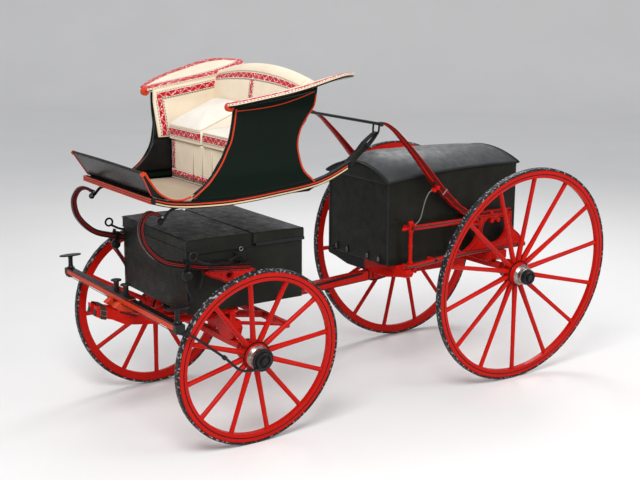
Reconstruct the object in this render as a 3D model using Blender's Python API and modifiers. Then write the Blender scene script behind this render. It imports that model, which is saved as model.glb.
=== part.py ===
import math

import bmesh
import bpy
from mathutils import Matrix, Vector

# All sizes in metres. The front faces -Y, +X is the left side of the vehicle, +Z is up.
FIT = 0.0003              # clearance between two pieces that meet
HIND_RADIUS = 0.8382
FRONT_RADIUS = 0.6096
TRACK = 1.583             # spacing of the rims at hub height
CAMBER = math.radians(6)
WHEELBASE = 2.338
FRONT_REACH = 0.815       # front axle to the front of the pole jaws
HIND_SPOKES = 14
FRONT_SPOKES = 12
HIND_DISH = 0.080
FRONT_DISH = 0.058
TYRE_WIDTH = 0.045
TYRE_THICK = 0.014
FELLOE_DEPTH = 0.060
FELLOE_WIDTH = 0.042
SPOKE_RADIUS = 0.016
ARM_RADIUS = 0.026
BORE_RADIUS = 0.0285
NAVE_INNER = 0.115        # nave length inboard of the spokes
BOOT_HALF = 0.475
HIND_BOOT_HALF = 0.385
BOARD = 0.018             # boards of the two boots
PLATE = 0.0085            # wheel plate thickness
KINGBOLT_RADIUS = 0.018
LEAF_WIDTH = 0.050        # C-spring leaves
WHIP_WIDTH = 0.045
BODY_HALF = 0.505         # outer face of the body at the rockers
FLARE_HALF = 0.600        # outer face at the arm rests
FLARE_LOW = 1.85
FLARE_HIGH = 2.15
PANEL_THICK = 0.022
ROCKER_HEIGHT = 0.045
SPRING_X = BOOT_HALF + 0.055
WHIP_X = 0.460

HIND_Y = (WHEELBASE + FRONT_REACH - HIND_RADIUS) / 2
FRONT_Y = HIND_Y - WHEELBASE
DRAWN_WHEELBASE = 2.338   # the outlines below were measured at this wheelbase


def from_hind(y):
    """Place in the part's frame of a point measured from the hind axle. Another wheelbase makes the perch
    and the braces longer or shorter, and moves all that is in front of them."""
    share = min(1.0, max(0.0, (-1.18 - y) / 0.22))
    return HIND_Y + y - share * (WHEELBASE - DRAWN_WHEELBASE)


def clear_scene():
    for old in list(bpy.data.objects):
        bpy.data.objects.remove(old, do_unlink=True)


def collection(name, hidden):
    made = bpy.data.collections.new(name)
    bpy.context.scene.collection.children.link(made)
    made.hide_render = hidden
    return made


clear_scene()
PARTS = collection("high_flyer_phaeton", False)
CUTTERS = collection("cutters", True)


def material(name, colour, roughness, metallic=0.0):
    made = bpy.data.materials.new(name)
    made.use_nodes = True
    shader = made.node_tree.nodes["Principled BSDF"]
    shader.inputs["Base Color"].default_value = (*colour, 1.0)
    shader.inputs["Roughness"].default_value = roughness
    shader.inputs["Metallic"].default_value = metallic
    return made


RED = ("red", (0.55, 0.045, 0.022), 0.3, 0.0)
BLACK = ("black", (0.012, 0.012, 0.013), 0.28, 0.0)
IRON = ("iron", (0.02, 0.02, 0.022), 0.5, 0.3)
LEATHER = ("leather", (0.02, 0.021, 0.019), 0.35, 0.0)
CLOTH = ("cloth", (0.80, 0.70, 0.55), 0.9, 0.0)
STEEL = ("steel", (0.45, 0.44, 0.42), 0.35, 1.0)
DARK_GREEN = ("dark_green", (0.012, 0.022, 0.016), 0.18, 0.0)


def finish(name, obj, look, smooth=35):
    obj.name = name
    obj.data.name = name
    obj.data.materials.clear()
    obj.data.materials.append(material(name + "_" + look[0], *look[1:]))
    for poly in obj.data.polygons:
        poly.use_smooth = True
        poly.material_index = 0
    obj.data.set_sharp_from_angle(angle=math.radians(smooth))
    for held in list(obj.users_collection):
        held.objects.unlink(obj)
    PARTS.objects.link(obj)
    return obj


def from_bmesh(bm, target=None):
    mesh = bpy.data.meshes.new("piece")
    bmesh.ops.recalc_face_normals(bm, faces=bm.faces)
    bm.to_mesh(mesh)
    bm.free()
    obj = bpy.data.objects.new("piece", mesh)
    (target or CUTTERS).objects.link(obj)
    obj.display_type = "WIRE"
    return obj


def evaluated(obj, merge=0.0):
    """Turn an object with modifiers, or a curve, into one plain mesh."""
    bpy.context.view_layer.update()
    graph = bpy.context.evaluated_depsgraph_get()
    mesh = bpy.data.meshes.new_from_object(obj.evaluated_get(graph))
    world = obj.matrix_world.copy()
    made = bpy.data.objects.new("piece", mesh)
    made.matrix_world = world
    CUTTERS.objects.link(made)
    made.display_type = "WIRE"
    bpy.data.objects.remove(obj, do_unlink=True)
    bm = bmesh.new()
    bm.from_mesh(mesh)
    if merge:
        bmesh.ops.remove_doubles(bm, verts=bm.verts, dist=merge)
    bmesh.ops.transform(bm, matrix=world, verts=bm.verts)
    bmesh.ops.recalc_face_normals(bm, faces=bm.faces)
    bm.to_mesh(mesh)
    bm.free()
    made.matrix_world = Matrix.Identity(4)
    return made


def bevelled(obj, width, segments=1, angle=40):
    if width > 0:
        mod = obj.modifiers.new("Bevel", "BEVEL")
        mod.width = width
        mod.segments = segments
        mod.limit_method = "ANGLE"
        mod.angle_limit = math.radians(angle)
        obj = evaluated(obj)
    return obj


def box(x0, x1, y0, y1, z0, z1, bevel=0.003):
    bm = bmesh.new()
    centre = Vector(((x0 + x1) / 2, (y0 + y1) / 2, (z0 + z1) / 2))
    size = Matrix.Diagonal((abs(x1 - x0), abs(y1 - y0), abs(z1 - z0), 1.0))
    bmesh.ops.create_cube(bm, size=1.0, matrix=Matrix.Translation(centre) @ size)
    return bevelled(from_bmesh(bm), bevel)


def rod(start, end, radius, sides=8, radius_end=None):
    start = Vector(start)
    end = Vector(end)
    line = end - start
    turn = line.to_track_quat("Z", "Y").to_matrix().to_4x4()
    bm = bmesh.new()
    bmesh.ops.create_cone(bm, cap_ends=True, segments=sides, radius1=radius,
                          radius2=radius if radius_end is None else radius_end, depth=line.length,
                          matrix=Matrix.Translation((start + end) / 2) @ turn)
    return from_bmesh(bm)


def ball(centre, radius, sides=8):
    bm = bmesh.new()
    bmesh.ops.create_uvsphere(bm, u_segments=sides, v_segments=sides // 2, radius=radius,
                              matrix=Matrix.Translation(centre))
    return from_bmesh(bm)


def turned(profile, steps, turn=0.0):
    """Revolve (radius, height) points, listed top to bottom, about the local Z axis."""
    mesh = bpy.data.meshes.new("profile")
    mesh.from_pydata([(r, 0.0, z) for r, z in profile], [(i, i + 1) for i in range(len(profile) - 1)], [])
    obj = bpy.data.objects.new("profile", mesh)
    CUTTERS.objects.link(obj)
    mod = obj.modifiers.new("Screw", "SCREW")
    mod.axis = "Z"
    mod.steps = steps
    mod.render_steps = steps
    mod.use_merge_vertices = True
    mod.merge_threshold = 0.0001
    made = evaluated(obj, 0.0001)
    made.data.transform(Matrix.Rotation(turn, 4, "Z"))
    return made


def outline_curve(points, holes, half):
    curve = bpy.data.curves.new("outline", "CURVE")
    curve.dimensions = "2D"
    curve.fill_mode = "BOTH"
    curve.extrude = half
    for ring in [points] + list(holes):
        spline = curve.splines.new("POLY")
        spline.points.add(len(ring) - 1)
        for node, (u, v) in zip(spline.points, ring):
            node.co = (u, v, 0.0, 1.0)
        spline.use_cyclic_u = True
    obj = bpy.data.objects.new("outline", curve)
    CUTTERS.objects.link(obj)
    return obj


def side_profile(points, x0, x1, bevel=0.0, holes=()):
    """Extrude an outline of (y, z) points across X from x0 to x1."""
    obj = outline_curve(points, holes, abs(x1 - x0) / 2)
    turn = Matrix(((0, 0, 1, (x0 + x1) / 2), (1, 0, 0, 0), (0, 1, 0, 0), (0, 0, 0, 1)))
    obj.matrix_world = turn
    return bevelled(evaluated(obj, 0.00002), bevel)


def front_profile(points, y0, y1, bevel=0.0):
    """Extrude an outline of (x, z) points along Y from y0 to y1."""
    obj = outline_curve(points, (), abs(y1 - y0) / 2)
    turn = Matrix(((1, 0, 0, 0), (0, 0, -1, (y0 + y1) / 2), (0, 1, 0, 0), (0, 0, 0, 1)))
    obj.matrix_world = turn
    return bevelled(evaluated(obj, 0.00002), bevel)


def plan_profile(points, z0, z1, bevel=0.0):
    """Extrude an outline of (x, y) points from z0 up to z1."""
    obj = outline_curve(points, (), abs(z1 - z0) / 2)
    obj.matrix_world = Matrix.Translation((0, 0, (z0 + z1) / 2))
    return bevelled(evaluated(obj, 0.00002), bevel)


def smooth_path(points, pieces):
    """Catmull-Rom points through the given ones."""
    pts = [Vector(p) for p in points]
    ends = [pts[0] * 2 - pts[1]] + pts + [pts[-1] * 2 - pts[-2]]
    out = []
    for i in range(len(pts) - 1):
        a, b, c, d = ends[i:i + 4]
        for k in range(pieces):
            t = k / pieces
            out.append(0.5 * (2 * b + (c - a) * t + (2 * a - 5 * b + 4 * c - d) * t * t
                              + (3 * b - a - 3 * c + d) * t ** 3))
    out.append(pts[-1])
    return out


def wire(points, radius, pieces=3, sides=1, cyclic=False):
    """A round bar bent along a path of (x, y, z) points."""
    path = smooth_path(points, pieces) if pieces > 1 else [Vector(p) for p in points]
    curve = bpy.data.curves.new("wire", "CURVE")
    curve.dimensions = "3D"
    curve.bevel_depth = radius
    curve.bevel_resolution = sides
    curve.use_fill_caps = not cyclic
    spline = curve.splines.new("POLY")
    spline.points.add(len(path) - 1)
    for node, p in zip(spline.points, path):
        node.co = (*p, 1.0)
    spline.use_cyclic_u = cyclic
    obj = bpy.data.objects.new("wire", curve)
    CUTTERS.objects.link(obj)
    return evaluated(obj, 0.00002)


def boolean(obj, others, operation):
    """Join or cut with a list of pieces at once, then drop those pieces."""
    tools = bpy.data.collections.new("tools")
    bpy.context.scene.collection.children.link(tools)
    for other in others:
        for held in list(other.users_collection):
            held.objects.unlink(other)
        tools.objects.link(other)
    mod = obj.modifiers.new("Boolean", "BOOLEAN")
    mod.operation = operation
    mod.solver = "EXACT"
    mod.operand_type = "COLLECTION"
    mod.collection = tools
    mod.use_self = operation == "UNION"
    made = evaluated(obj, 0.00001)
    for other in others:
        bpy.data.objects.remove(other, do_unlink=True)
    bpy.data.collections.remove(tools)
    return made


def union(obj, *others):
    return boolean(obj, list(others), "UNION")


def cut(obj, *others):
    return boolean(obj, list(others), "DIFFERENCE")


def moved(obj, matrix):
    obj.data.transform(matrix)
    return obj


def mirrored(obj):
    """A copy of a piece on the other side of the vehicle."""
    made = bpy.data.objects.new("piece", obj.data.copy())
    CUTTERS.objects.link(made)
    made.data.transform(Matrix.Diagonal((-1, 1, 1, 1)))
    made.data.flip_normals()
    return made


def pair(name, obj, look, smooth=35):
    other = mirrored(obj)
    finish(name + "_left", obj, look, smooth)
    finish(name + "_right", other, look, smooth)


def set_origin(obj, point):
    obj.data.transform(Matrix.Translation(-Vector(point)))
    obj.matrix_world = Matrix.Translation(point)


def ring(profile, steps, turn=0.0):
    """Revolve a closed (radius, height) outline about the local Z axis."""
    return turned(list(profile) + [profile[0]], steps, turn)


def rim_height(radius, facets):
    return (radius * math.cos(math.pi / facets) * math.cos(CAMBER)
            + TYRE_WIDTH / 2 * math.sin(CAMBER))


def wheel_frame(y, radius, facets):
    """Left wheel: local Z points outward along the arm, local X points down."""
    out = Vector((math.cos(CAMBER), 0, -math.sin(CAMBER)))
    down = Vector((-math.sin(CAMBER), 0, -math.cos(CAMBER)))
    frame = Matrix.Identity(4)
    frame.col[0] = (*down, 0)
    frame.col[1] = (0, 1, 0, 0)
    frame.col[2] = (*out, 0)
    frame.col[3] = (TRACK / 2, y, rim_height(radius, facets), 1)
    return frame


HIND_TURNS = (0.0, math.pi / HIND_SPOKES)    # where the first spoke stands, left and right
FRONT_TURNS = (math.radians(10), 0.0)
HIND_FRAME = wheel_frame(HIND_Y, HIND_RADIUS, HIND_SPOKES * 3)
FRONT_FRAME = wheel_frame(FRONT_Y, FRONT_RADIUS, FRONT_SPOKES * 3)


def build_tyre(radius, facets):
    inner = radius - TYRE_THICK
    half = TYRE_WIDTH / 2
    points = [(radius, half), (radius, -half), (inner, -half), (inner, half)]
    return ring(points, facets, math.pi / facets)


def build_wheel(radius, spokes, dish, first_angle):
    facets = spokes * 3
    outer = radius - TYRE_THICK - FIT
    inner = outer - FELLOE_DEPTH
    half = FELLOE_WIDTH / 2
    felloes = ring([(outer, half - 0.004), (outer, -half + 0.004), (inner + 0.008, -half),
                    (inner, -half * 0.6), (inner, half * 0.6), (inner + 0.008, half)],
                   facets, math.pi / facets)
    nave = ring([(0.066, 0.035), (0.068, 0.0), (0.088, 0.045 - dish), (0.098, 0.033 - dish),
                 (0.094, -0.035 - dish), (0.082, -0.050 - dish), (0.070, -NAVE_INNER - dish),
                 (BORE_RADIUS, -NAVE_INNER - dish), (BORE_RADIUS, 0.035)], 18, math.pi / 18)
    pieces = []
    for k in range(spokes):
        angle = first_angle + k * math.tau / spokes
        way = Vector((math.cos(angle), math.sin(angle), 0))
        foot = way * 0.080 + Vector((0, 0, -dish))
        tip = way * (inner + 0.015) + Vector((0, 0, -0.004))
        pieces.append(rod(foot, tip, 0.019, 6, SPOKE_RADIUS * 0.85))
    return union(felloes, nave, *pieces)


def build_cap():
    arm = ARM_RADIUS + FIT
    return turned([(0, 0.078), (0.044, 0.078), (0.058, 0.064), (0.058, 0.0353),
                   (arm, 0.0353), (arm, 0.050 + FIT), (0, 0.050 + FIT)], 16)


def build_wheels():
    sizes = (("hind", HIND_RADIUS, HIND_SPOKES, HIND_DISH, HIND_FRAME, HIND_TURNS),
             ("front", FRONT_RADIUS, FRONT_SPOKES, FRONT_DISH, FRONT_FRAME, FRONT_TURNS))
    for where, radius, spokes, dish, frame, turns in sizes:
        for side, turn in zip(("left", "right"), turns):
            pieces = (("wheel", build_wheel(radius, spokes, dish, turn), RED),
                      ("tyre", build_tyre(radius, spokes * 3), IRON),
                      ("axle_cap", build_cap(), BLACK))
            hub = Vector(frame.col[3][:3])
            if side == "right":
                hub.x = -hub.x
            for kind, piece, look in pieces:
                moved(piece, frame)
                if side == "right":
                    piece.data.transform(Matrix.Diagonal((-1, 1, 1, 1)))
                    piece.data.flip_normals()
                set_origin(finish(where + "_" + kind + "_" + side, piece, look), hub)


def axle_side(frame, dish):
    """Arm and collar of one side, with the point where the beam meets them."""
    shoulder = -NAVE_INNER - dish - 0.002
    arm = turned([(0, 0.050), (ARM_RADIUS, 0.050), (ARM_RADIUS, shoulder), (0.060, shoulder),
                  (0.060, shoulder - 0.016), (0.045, shoulder - 0.030), (0, shoulder - 0.030)], 16)
    moved(arm, frame)
    root = frame @ Vector((0, 0, shoulder - 0.018))
    return arm, root


def build_axle(name, frame, dish, beam_low, beam_high, depth):
    arm, root = axle_side(frame, dish)
    y = frame.col[3][1]
    points = [(-root.x, beam_low + 0.008), (-root.x * 0.7, beam_low), (root.x * 0.7, beam_low),
              (root.x, beam_low + 0.008), (root.x, beam_high), (-root.x, beam_high)]
    beam = front_profile(points, y - depth / 2, y + depth / 2, 0.004)
    finish(name, union(beam, arm, mirrored(arm)), RED)


HIND_BEAM = (0.831, 0.881)
FRONT_BEAM = (0.602, 0.648)


def build_axles():
    build_axle("hind_axle", HIND_FRAME, HIND_DISH, *HIND_BEAM, 0.050)
    build_axle("fore_axle", FRONT_FRAME, FRONT_DISH, *FRONT_BEAM, 0.050)


def at(points):
    """Side outline measured from the hind axle, moved into the part's frame."""
    return [(from_hind(y), z) for y, z in points]


def path_at(points):
    return [(x, from_hind(y), z) for x, y, z in points]


BED_TOP = 0.785
LOWER_PLATE_Z = BED_TOP + FIT
UPPER_PLATE_Z = LOWER_PLATE_Z + PLATE + FIT
TRANSOM_Z = UPPER_PLATE_Z + PLATE + FIT
PLATE_RADIUS = 0.270
BOOT_BOTTOM = 0.870
BOOT_TOP_FRONT = 1.360
BOOT_TOP_REAR = 1.343
BAR_LOW = 0.905
BAR_HIGH = 0.950
BAR_HALF = 0.875
BAR_Y = from_hind(-2.950)
ROLLER_X = BAR_HALF - 0.035
ROLLER_RADIUS = 0.012
SWAY_Y = from_hind(-1.950)
JAW_Y = FRONT_Y - FRONT_REACH + 0.005


def futchell_spread(y):
    """Distance of a futchell from the middle at a given place along it."""
    stations = ((JAW_Y, 0.0475), (from_hind(-2.9), 0.070), (from_hind(-2.685), 0.100),
                (FRONT_Y, 0.140), (SWAY_Y + 0.03, 0.220))
    for (y0, x0), (y1, x1) in zip(stations, stations[1:]):
        if y <= y1:
            return x0 + (x1 - x0) * max(0.0, y - y0) / (y1 - y0)
    return stations[-1][1]


FUTCHELL_TOP = ((-3.148, 0.905), (-3.0, 0.860), (-2.9, 0.827), (-2.85, 0.810), (-2.685, 0.780),
                (-2.45, 0.775), (-2.338, 0.770), (-2.2, 0.760), (-1.93, 0.718))
FUTCHELL_BOTTOM = ((-1.93, 0.680), (-2.2, 0.710), (-2.338, 0.712), (-2.45, 0.715), (-2.685, 0.726),
                   (-2.9, 0.748), (-2.958, 0.758), (-3.047, 0.804), (-3.148, 0.832))


def build_fore_frame():
    points = [(-0.50, BED_TOP), (-0.53, 0.740), (-0.50, 0.665), (-0.46, FRONT_BEAM[1] + FIT),
              (-0.34, FRONT_BEAM[1] + FIT), (-0.27, 0.700)]
    points += [(-x, z) for x, z in points[::-1]]
    bed = front_profile(points, FRONT_Y - 0.032, FRONT_Y + 0.032)
    pieces = []
    futchell = side_profile(at(FUTCHELL_TOP + FUTCHELL_BOTTOM), -0.0225, 0.0225)
    for vertex in futchell.data.vertices:
        vertex.co.x += futchell_spread(vertex.co.y)
    pieces += [futchell, mirrored(futchell)]
    pieces.append(box(-0.53, 0.53, SWAY_Y - 0.022, SWAY_Y + 0.022, 0.675, 0.722, 0.006))
    for side in (-1, 1):
        pieces.append(wire([(side * 0.44, FRONT_Y + 0.015, 0.755), (side * 0.47, FRONT_Y + 0.12, 0.742),
                            (side * 0.50, SWAY_Y - 0.01, 0.700)], 0.013, 3))
        pieces.append(rod((side * 0.50, FRONT_Y - 0.028, 0.700), (side * 0.50, FRONT_Y - 0.028, 0.834), 0.020))
        pieces.append(ball((side * 0.50, FRONT_Y - 0.028, 0.838), 0.023))
    frame = union(bed, *pieces)
    bore = rod((0, FRONT_Y, 0.60), (0, FRONT_Y, 0.85), KINGBOLT_RADIUS + 0.0006, 24)
    finish("fore_frame", cut(frame, bore), RED)


def build_splinter_bar():
    bar = box(-BAR_HALF, BAR_HALF, BAR_Y - 0.030, BAR_Y + 0.030, BAR_LOW, BAR_HIGH, 0.008)
    pieces = [box(-0.20, 0.20, BAR_Y - 0.026, BAR_Y + 0.026, BAR_HIGH - 0.01, BAR_HIGH + 0.006, 0.002)]
    for side in (-1, 1):
        outline = at(((-2.995, 0.8583 + FIT), (-2.905, 0.8287 + FIT), (-2.875, 0.862), (-2.905, 0.912),
                      (-3.00, 0.912), (-3.035, 0.885)))
        pieces.append(side_profile(outline, side * 0.045, side * 0.090, 0.004))
        pieces.append(rod((side * 0.075, BAR_Y + 0.012, 0.94), (side * 0.075, BAR_Y + 0.012, 1.012), 0.013))
        pieces.append(ball((side * 0.075, BAR_Y + 0.012, 1.012), 0.020))
    bar = union(bar, *pieces)
    holes = [rod((side * ROLLER_X, BAR_Y, 0.88), (side * ROLLER_X, BAR_Y, 0.98), ROLLER_RADIUS + FIT)
             for side in (-1, 1)]
    finish("splinter_bar", cut(bar, *holes), RED)


def build_wheel_irons():
    palm = box(ROLLER_X - 0.03, ROLLER_X + 0.035, BAR_Y - 0.027, BAR_Y + 0.027, 0.890, BAR_LOW - FIT, 0.003)
    bolt = rod((ROLLER_X, BAR_Y, 0.895), (ROLLER_X, BAR_Y, 1.048), ROLLER_RADIUS)
    flange = rod((ROLLER_X, BAR_Y, BAR_HIGH + FIT), (ROLLER_X, BAR_Y, BAR_HIGH + 0.012), 0.026, 12, 0.016)
    tread = box(ROLLER_X - 0.032, ROLLER_X + 0.032, BAR_Y - 0.080, BAR_Y + 0.080, 1.045, 1.052, 0.003)
    eye = ring([(0.075, 0.0555), (0.075, 0.0415), (0.0605, 0.0415), (0.0605, 0.0555)], 16)
    moved(eye, FRONT_FRAME)
    path = [(ROLLER_X + 0.025, BAR_Y, 0.892), (ROLLER_X + 0.032, BAR_Y + 0.07, 0.872),
            (0.872, BAR_Y + 0.19, 0.780),
            (0.872, BAR_Y + 0.31, 0.683), (0.870, BAR_Y + 0.38, 0.612), (0.862, BAR_Y + 0.46, 0.562),
            (0.848, BAR_Y + 0.56, 0.540), (0.840, FRONT_Y - 0.01, 0.5345)]
    iron = wire(path, 0.011, 2)
    pair("wheel_iron", union(palm, bolt, flange, tread, eye, iron), RED)


def build_wheel_plates():
    hole = KINGBOLT_RADIUS + 0.0006
    lower = ring([(PLATE_RADIUS, LOWER_PLATE_Z + PLATE), (PLATE_RADIUS, LOWER_PLATE_Z),
                  (hole, LOWER_PLATE_Z), (hole, LOWER_PLATE_Z + PLATE)], 24)
    finish("lower_wheel_plate", moved(lower, Matrix.Translation((0, FRONT_Y, 0))), IRON)
    upper = turned([(0, UPPER_PLATE_Z + PLATE), (PLATE_RADIUS, UPPER_PLATE_Z + PLATE),
                    (PLATE_RADIUS, UPPER_PLATE_Z), (KINGBOLT_RADIUS, UPPER_PLATE_Z),
                    (KINGBOLT_RADIUS, 0.697), (0.032, 0.697), (0.032, 0.674), (0, 0.674)], 24)
    finish("upper_wheel_plate", moved(upper, Matrix.Translation((0, FRONT_Y, 0))), IRON)


def build_pole_strap():
    half = 0.0759
    middle = from_hind(-3.105)
    outer = front_profile([(-half - 0.005, 0.813), (half + 0.005, 0.813), (half + 0.005, 0.901),
                           (-half - 0.005, 0.901)], middle - 0.018, middle + 0.018, 0.002)
    inner = front_profile([(-half, 0.8185), (half, 0.8185), (half, 0.8955), (-half, 0.8955)],
                          middle - 0.03, middle + 0.03)
    strap = cut(outer, inner)
    for vertex in strap.data.vertices:
        vertex.co.z -= 0.29 * (vertex.co.y - middle)
    finish("pole_strap", strap, LEATHER)


def build_perch():
    top = HIND_BEAM[0] - FIT
    outline = [(-2.46, BOOT_BOTTOM - FIT), (-2.10, BOOT_BOTTOM - FIT), (-1.98, 0.845),
               (-1.80, 0.818), (-1.50, 0.800), (-0.90, top), (0.07, top), (0.07, 0.770),
               (-0.10, 0.757), (-0.50, 0.762), (-0.90, 0.757), (-1.30, 0.738), (-1.50, 0.733),
               (-1.90, 0.756), (-2.03, 0.785), (-2.05, TRANSOM_Z), (-2.46, TRANSOM_Z)]
    perch = side_profile(at(outline), -0.030, 0.030)
    ends = [(-0.44, BOOT_BOTTOM - FIT), (0.44, BOOT_BOTTOM - FIT), (0.47, 0.845), (0.43, 0.820),
            (0.27, TRANSOM_Z), (-0.27, TRANSOM_Z), (-0.43, 0.820), (-0.47, 0.845)]
    transom = front_profile(ends, FRONT_Y - 0.045, FRONT_Y + 0.045, 0.004)
    block = box(-0.045, 0.045, from_hind(-1.92), from_hind(-1.83), 0.79, BOOT_BOTTOM - FIT, 0.004)
    finish("perch", union(perch, transom, block), RED)


def open_box(outline, half, board, low, high):
    """Boarded case, open at the top; the hollow runs from low up past high."""
    shell = side_profile(outline, -half, half, 0.003)
    ys = [y for y, z in outline]
    hollow = box(-half + board, half - board, min(ys) + board, max(ys) - board, low, high + 0.2, 0)
    return cut(shell, hollow)


LID_HINGE_Y = from_hind(-2.2025)


def build_front_boot():
    outline = at(((-2.685, BOOT_BOTTOM), (-2.685, BOOT_TOP_FRONT), (-1.795, BOOT_TOP_REAR),
                  (-1.795, BOOT_BOTTOM)))
    boot = open_box(outline, BOOT_HALF, BOARD, BOOT_BOTTOM + BOARD, BOOT_TOP_FRONT)
    strip = box(-BOOT_HALF, BOOT_HALF, LID_HINGE_Y - 0.010, LID_HINGE_Y + 0.010, 1.325, 1.362, 0.002)
    finish("front_boot", union(boot, strip), LEATHER)


def build_front_lids():
    lip = 0.008
    half = BOOT_HALF + FIT
    front = at(((-2.685, 1.3725), (-2.45, 1.3725), (-2.2135, 1.366), (-2.2135, 1.27), (-2.60, 1.27),
                (-2.693, 1.300), (-2.693, 1.366)))
    under = at(((-2.6853, 1.2), (-2.6853, BOOT_TOP_FRONT + FIT), (-2.2, 1.3511 + FIT), (-2.2, 1.2)))
    lid = side_profile(front, -half - lip, half + lip, 0.003)
    lid = cut(lid, side_profile(under, -half, half))
    finish("front_boot_front_lid", lid, LEATHER)
    set_origin(lid, (0, from_hind(-2.2155), 1.362))
    rear = at(((-2.1915, 1.365), (-2.0, 1.366), (-1.80, 1.358), (-1.786, 1.348), (-1.786, 1.272),
               (-2.1915, 1.272)))
    under = at(((-2.2, 1.2), (-2.2, 1.3511 + FIT), (-1.7947, BOOT_TOP_REAR + FIT), (-1.7947, 1.2)))
    lid = side_profile(rear, -half - lip, half + lip, 0.003)
    lid = cut(lid, side_profile(under, -half, half))
    finish("front_boot_rear_lid", lid, LEATHER)
    set_origin(lid, (0, from_hind(-2.1895), 1.362))


def leaf_outline(points, pieces=2):
    """Outline of a bent bar from (y, z, thickness) points measured from the hind axle."""
    path = smooth_path([(from_hind(y), z, t) for y, z, t in points], pieces)
    upper = []
    lower = []
    for i, p in enumerate(path):
        along = path[min(i + 1, len(path) - 1)] - path[max(i - 1, 0)]
        across = Vector((0 - along.y, along.x)).normalized() * p.z / 2
        upper.append((p.x + across.x, p.y + across.y))
        lower.append((p.x - across.x, p.y - across.y))
    return upper + lower[::-1]


def clamp(x, half, y, z, angle, length, height):
    """A clip block set square to a spring that slopes by angle in side view."""
    block = box(-half, half, -length / 2, length / 2, -height / 2, height / 2, 0.004)
    return moved(block, Matrix.Translation((x, from_hind(y), z)) @ Matrix.Rotation(angle, 4, "X"))


C_SPRING = ((-2.898, 1.565, 0.020), (-2.948, 1.591, 0.022), (-2.993, 1.581, 0.024),
            (-3.026, 1.532, 0.026), (-3.031, 1.474, 0.030), (-3.011, 1.401, 0.034),
            (-2.956, 1.328, 0.038), (-2.880, 1.270, 0.040), (-2.776, 1.236, 0.040),
            (-2.670, 1.212, 0.040), (-2.562, 1.192, 0.040), (-2.425, 1.176, 0.036),
            (-2.256, 1.160, 0.030))
WHIP_SPRING = ((-1.150, 2.028, 0.018), (-1.090, 2.022, 0.018), (-1.010, 1.975, 0.020),
               (-0.940, 1.910, 0.026), (-0.860, 1.830, 0.032), (-0.780, 1.745, 0.040),
               (-0.690, 1.645, 0.048), (-0.600, 1.545, 0.050), (-0.510, 1.455, 0.050),
               (-0.420, 1.375, 0.046), (-0.330, 1.312, 0.040), (-0.240, 1.282, 0.034),
               (-0.150, 1.2735, 0.030), (0.140, 1.2735, 0.030))
SADDLE_TOP = 1.2579


def build_springs():
    half = LEAF_WIDTH / 2
    spring = side_profile(leaf_outline(C_SPRING), SPRING_X - half, SPRING_X + half)
    eye = rod((SPRING_X - half, from_hind(-2.895), 1.563), (SPRING_X + half, from_hind(-2.895), 1.563), 0.0125)
    clip = clamp(SPRING_X, half + 0.004, -2.722, 1.224, -0.25, 0.040, 0.062)
    knobs = [ball((SPRING_X, from_hind(y), z), 0.016) for y, z in ((-2.737, 1.262), (-2.711, 1.176))]
    pair("c_spring", union(spring, eye, clip, *knobs), BLACK)
    half = WHIP_WIDTH / 2
    spring = side_profile(leaf_outline(WHIP_SPRING), WHIP_X - half, WHIP_X + half)
    clips = [clamp(WHIP_X, half + 0.004, -0.665, 1.617, -0.83, 0.030, 0.062),
             clamp(WHIP_X, half + 0.004, -0.430, 1.383, -0.72, 0.030, 0.060)]
    pair("whip_spring", union(spring, *clips), RED)


def build_spring_brackets():
    inner = BOOT_HALF + FIT
    outline = [(-2.590, 1.150), (-2.562, 1.171), (-2.425, 1.1565), (-2.245, 1.1410), (-2.236, 1.125),
               (-2.260, 1.105), (-2.310, 1.112), (-2.350, 1.098), (-2.396, 1.084), (-2.445, 1.094),
               (-2.500, 1.118), (-2.550, 1.115), (-2.585, 1.128)]
    bracket = side_profile(at(outline), inner, SPRING_X + 0.027, 0.004)
    stay = wire(path_at([(BOOT_HALF + 0.025, -2.565, 1.140), (BOOT_HALF + 0.027, -2.620, 1.120),
                         (BOOT_HALF + 0.022, -2.655, 1.060), (BOOT_HALF + 0.013, -2.668, 0.985)]), 0.009, 2)
    palm = box(inner, inner + 0.012, from_hind(-2.682), from_hind(-2.650), 0.955, 1.000, 0.002)
    pair("spring_bracket", union(bracket, stay, palm), RED)


def build_steps():
    inner = BOOT_HALF + FIT
    palm = box(inner, inner + 0.012, from_hind(-2.335), from_hind(-2.255), 1.185, 1.255, 0.003)
    line = ((0.006, -2.295, 1.222), (0.040, -2.330, 1.232), (0.115, -2.440, 1.236), (0.150, -2.540, 1.238),
            (0.161, -2.640, 1.250), (0.165, -2.720, 1.285))
    arm = wire(path_at([(BOOT_HALF + x, y, z) for x, y, z in line]), 0.009, 2)
    tread = box(BOOT_HALF + 0.100, BOOT_HALF + 0.197, from_hind(-2.605), from_hind(-2.455), 1.2365, 1.2435, 0.003)
    turns = [k * math.tau / 12 for k in range(12)]
    loop = [(BOOT_HALF + 0.165, -2.735 + 0.040 * math.cos(a), 1.325 + 0.040 * math.sin(a)) for a in turns]
    pair("step", union(palm, arm, tread, wire(path_at(loop), 0.008, 1, 1, True)), IRON)


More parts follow.
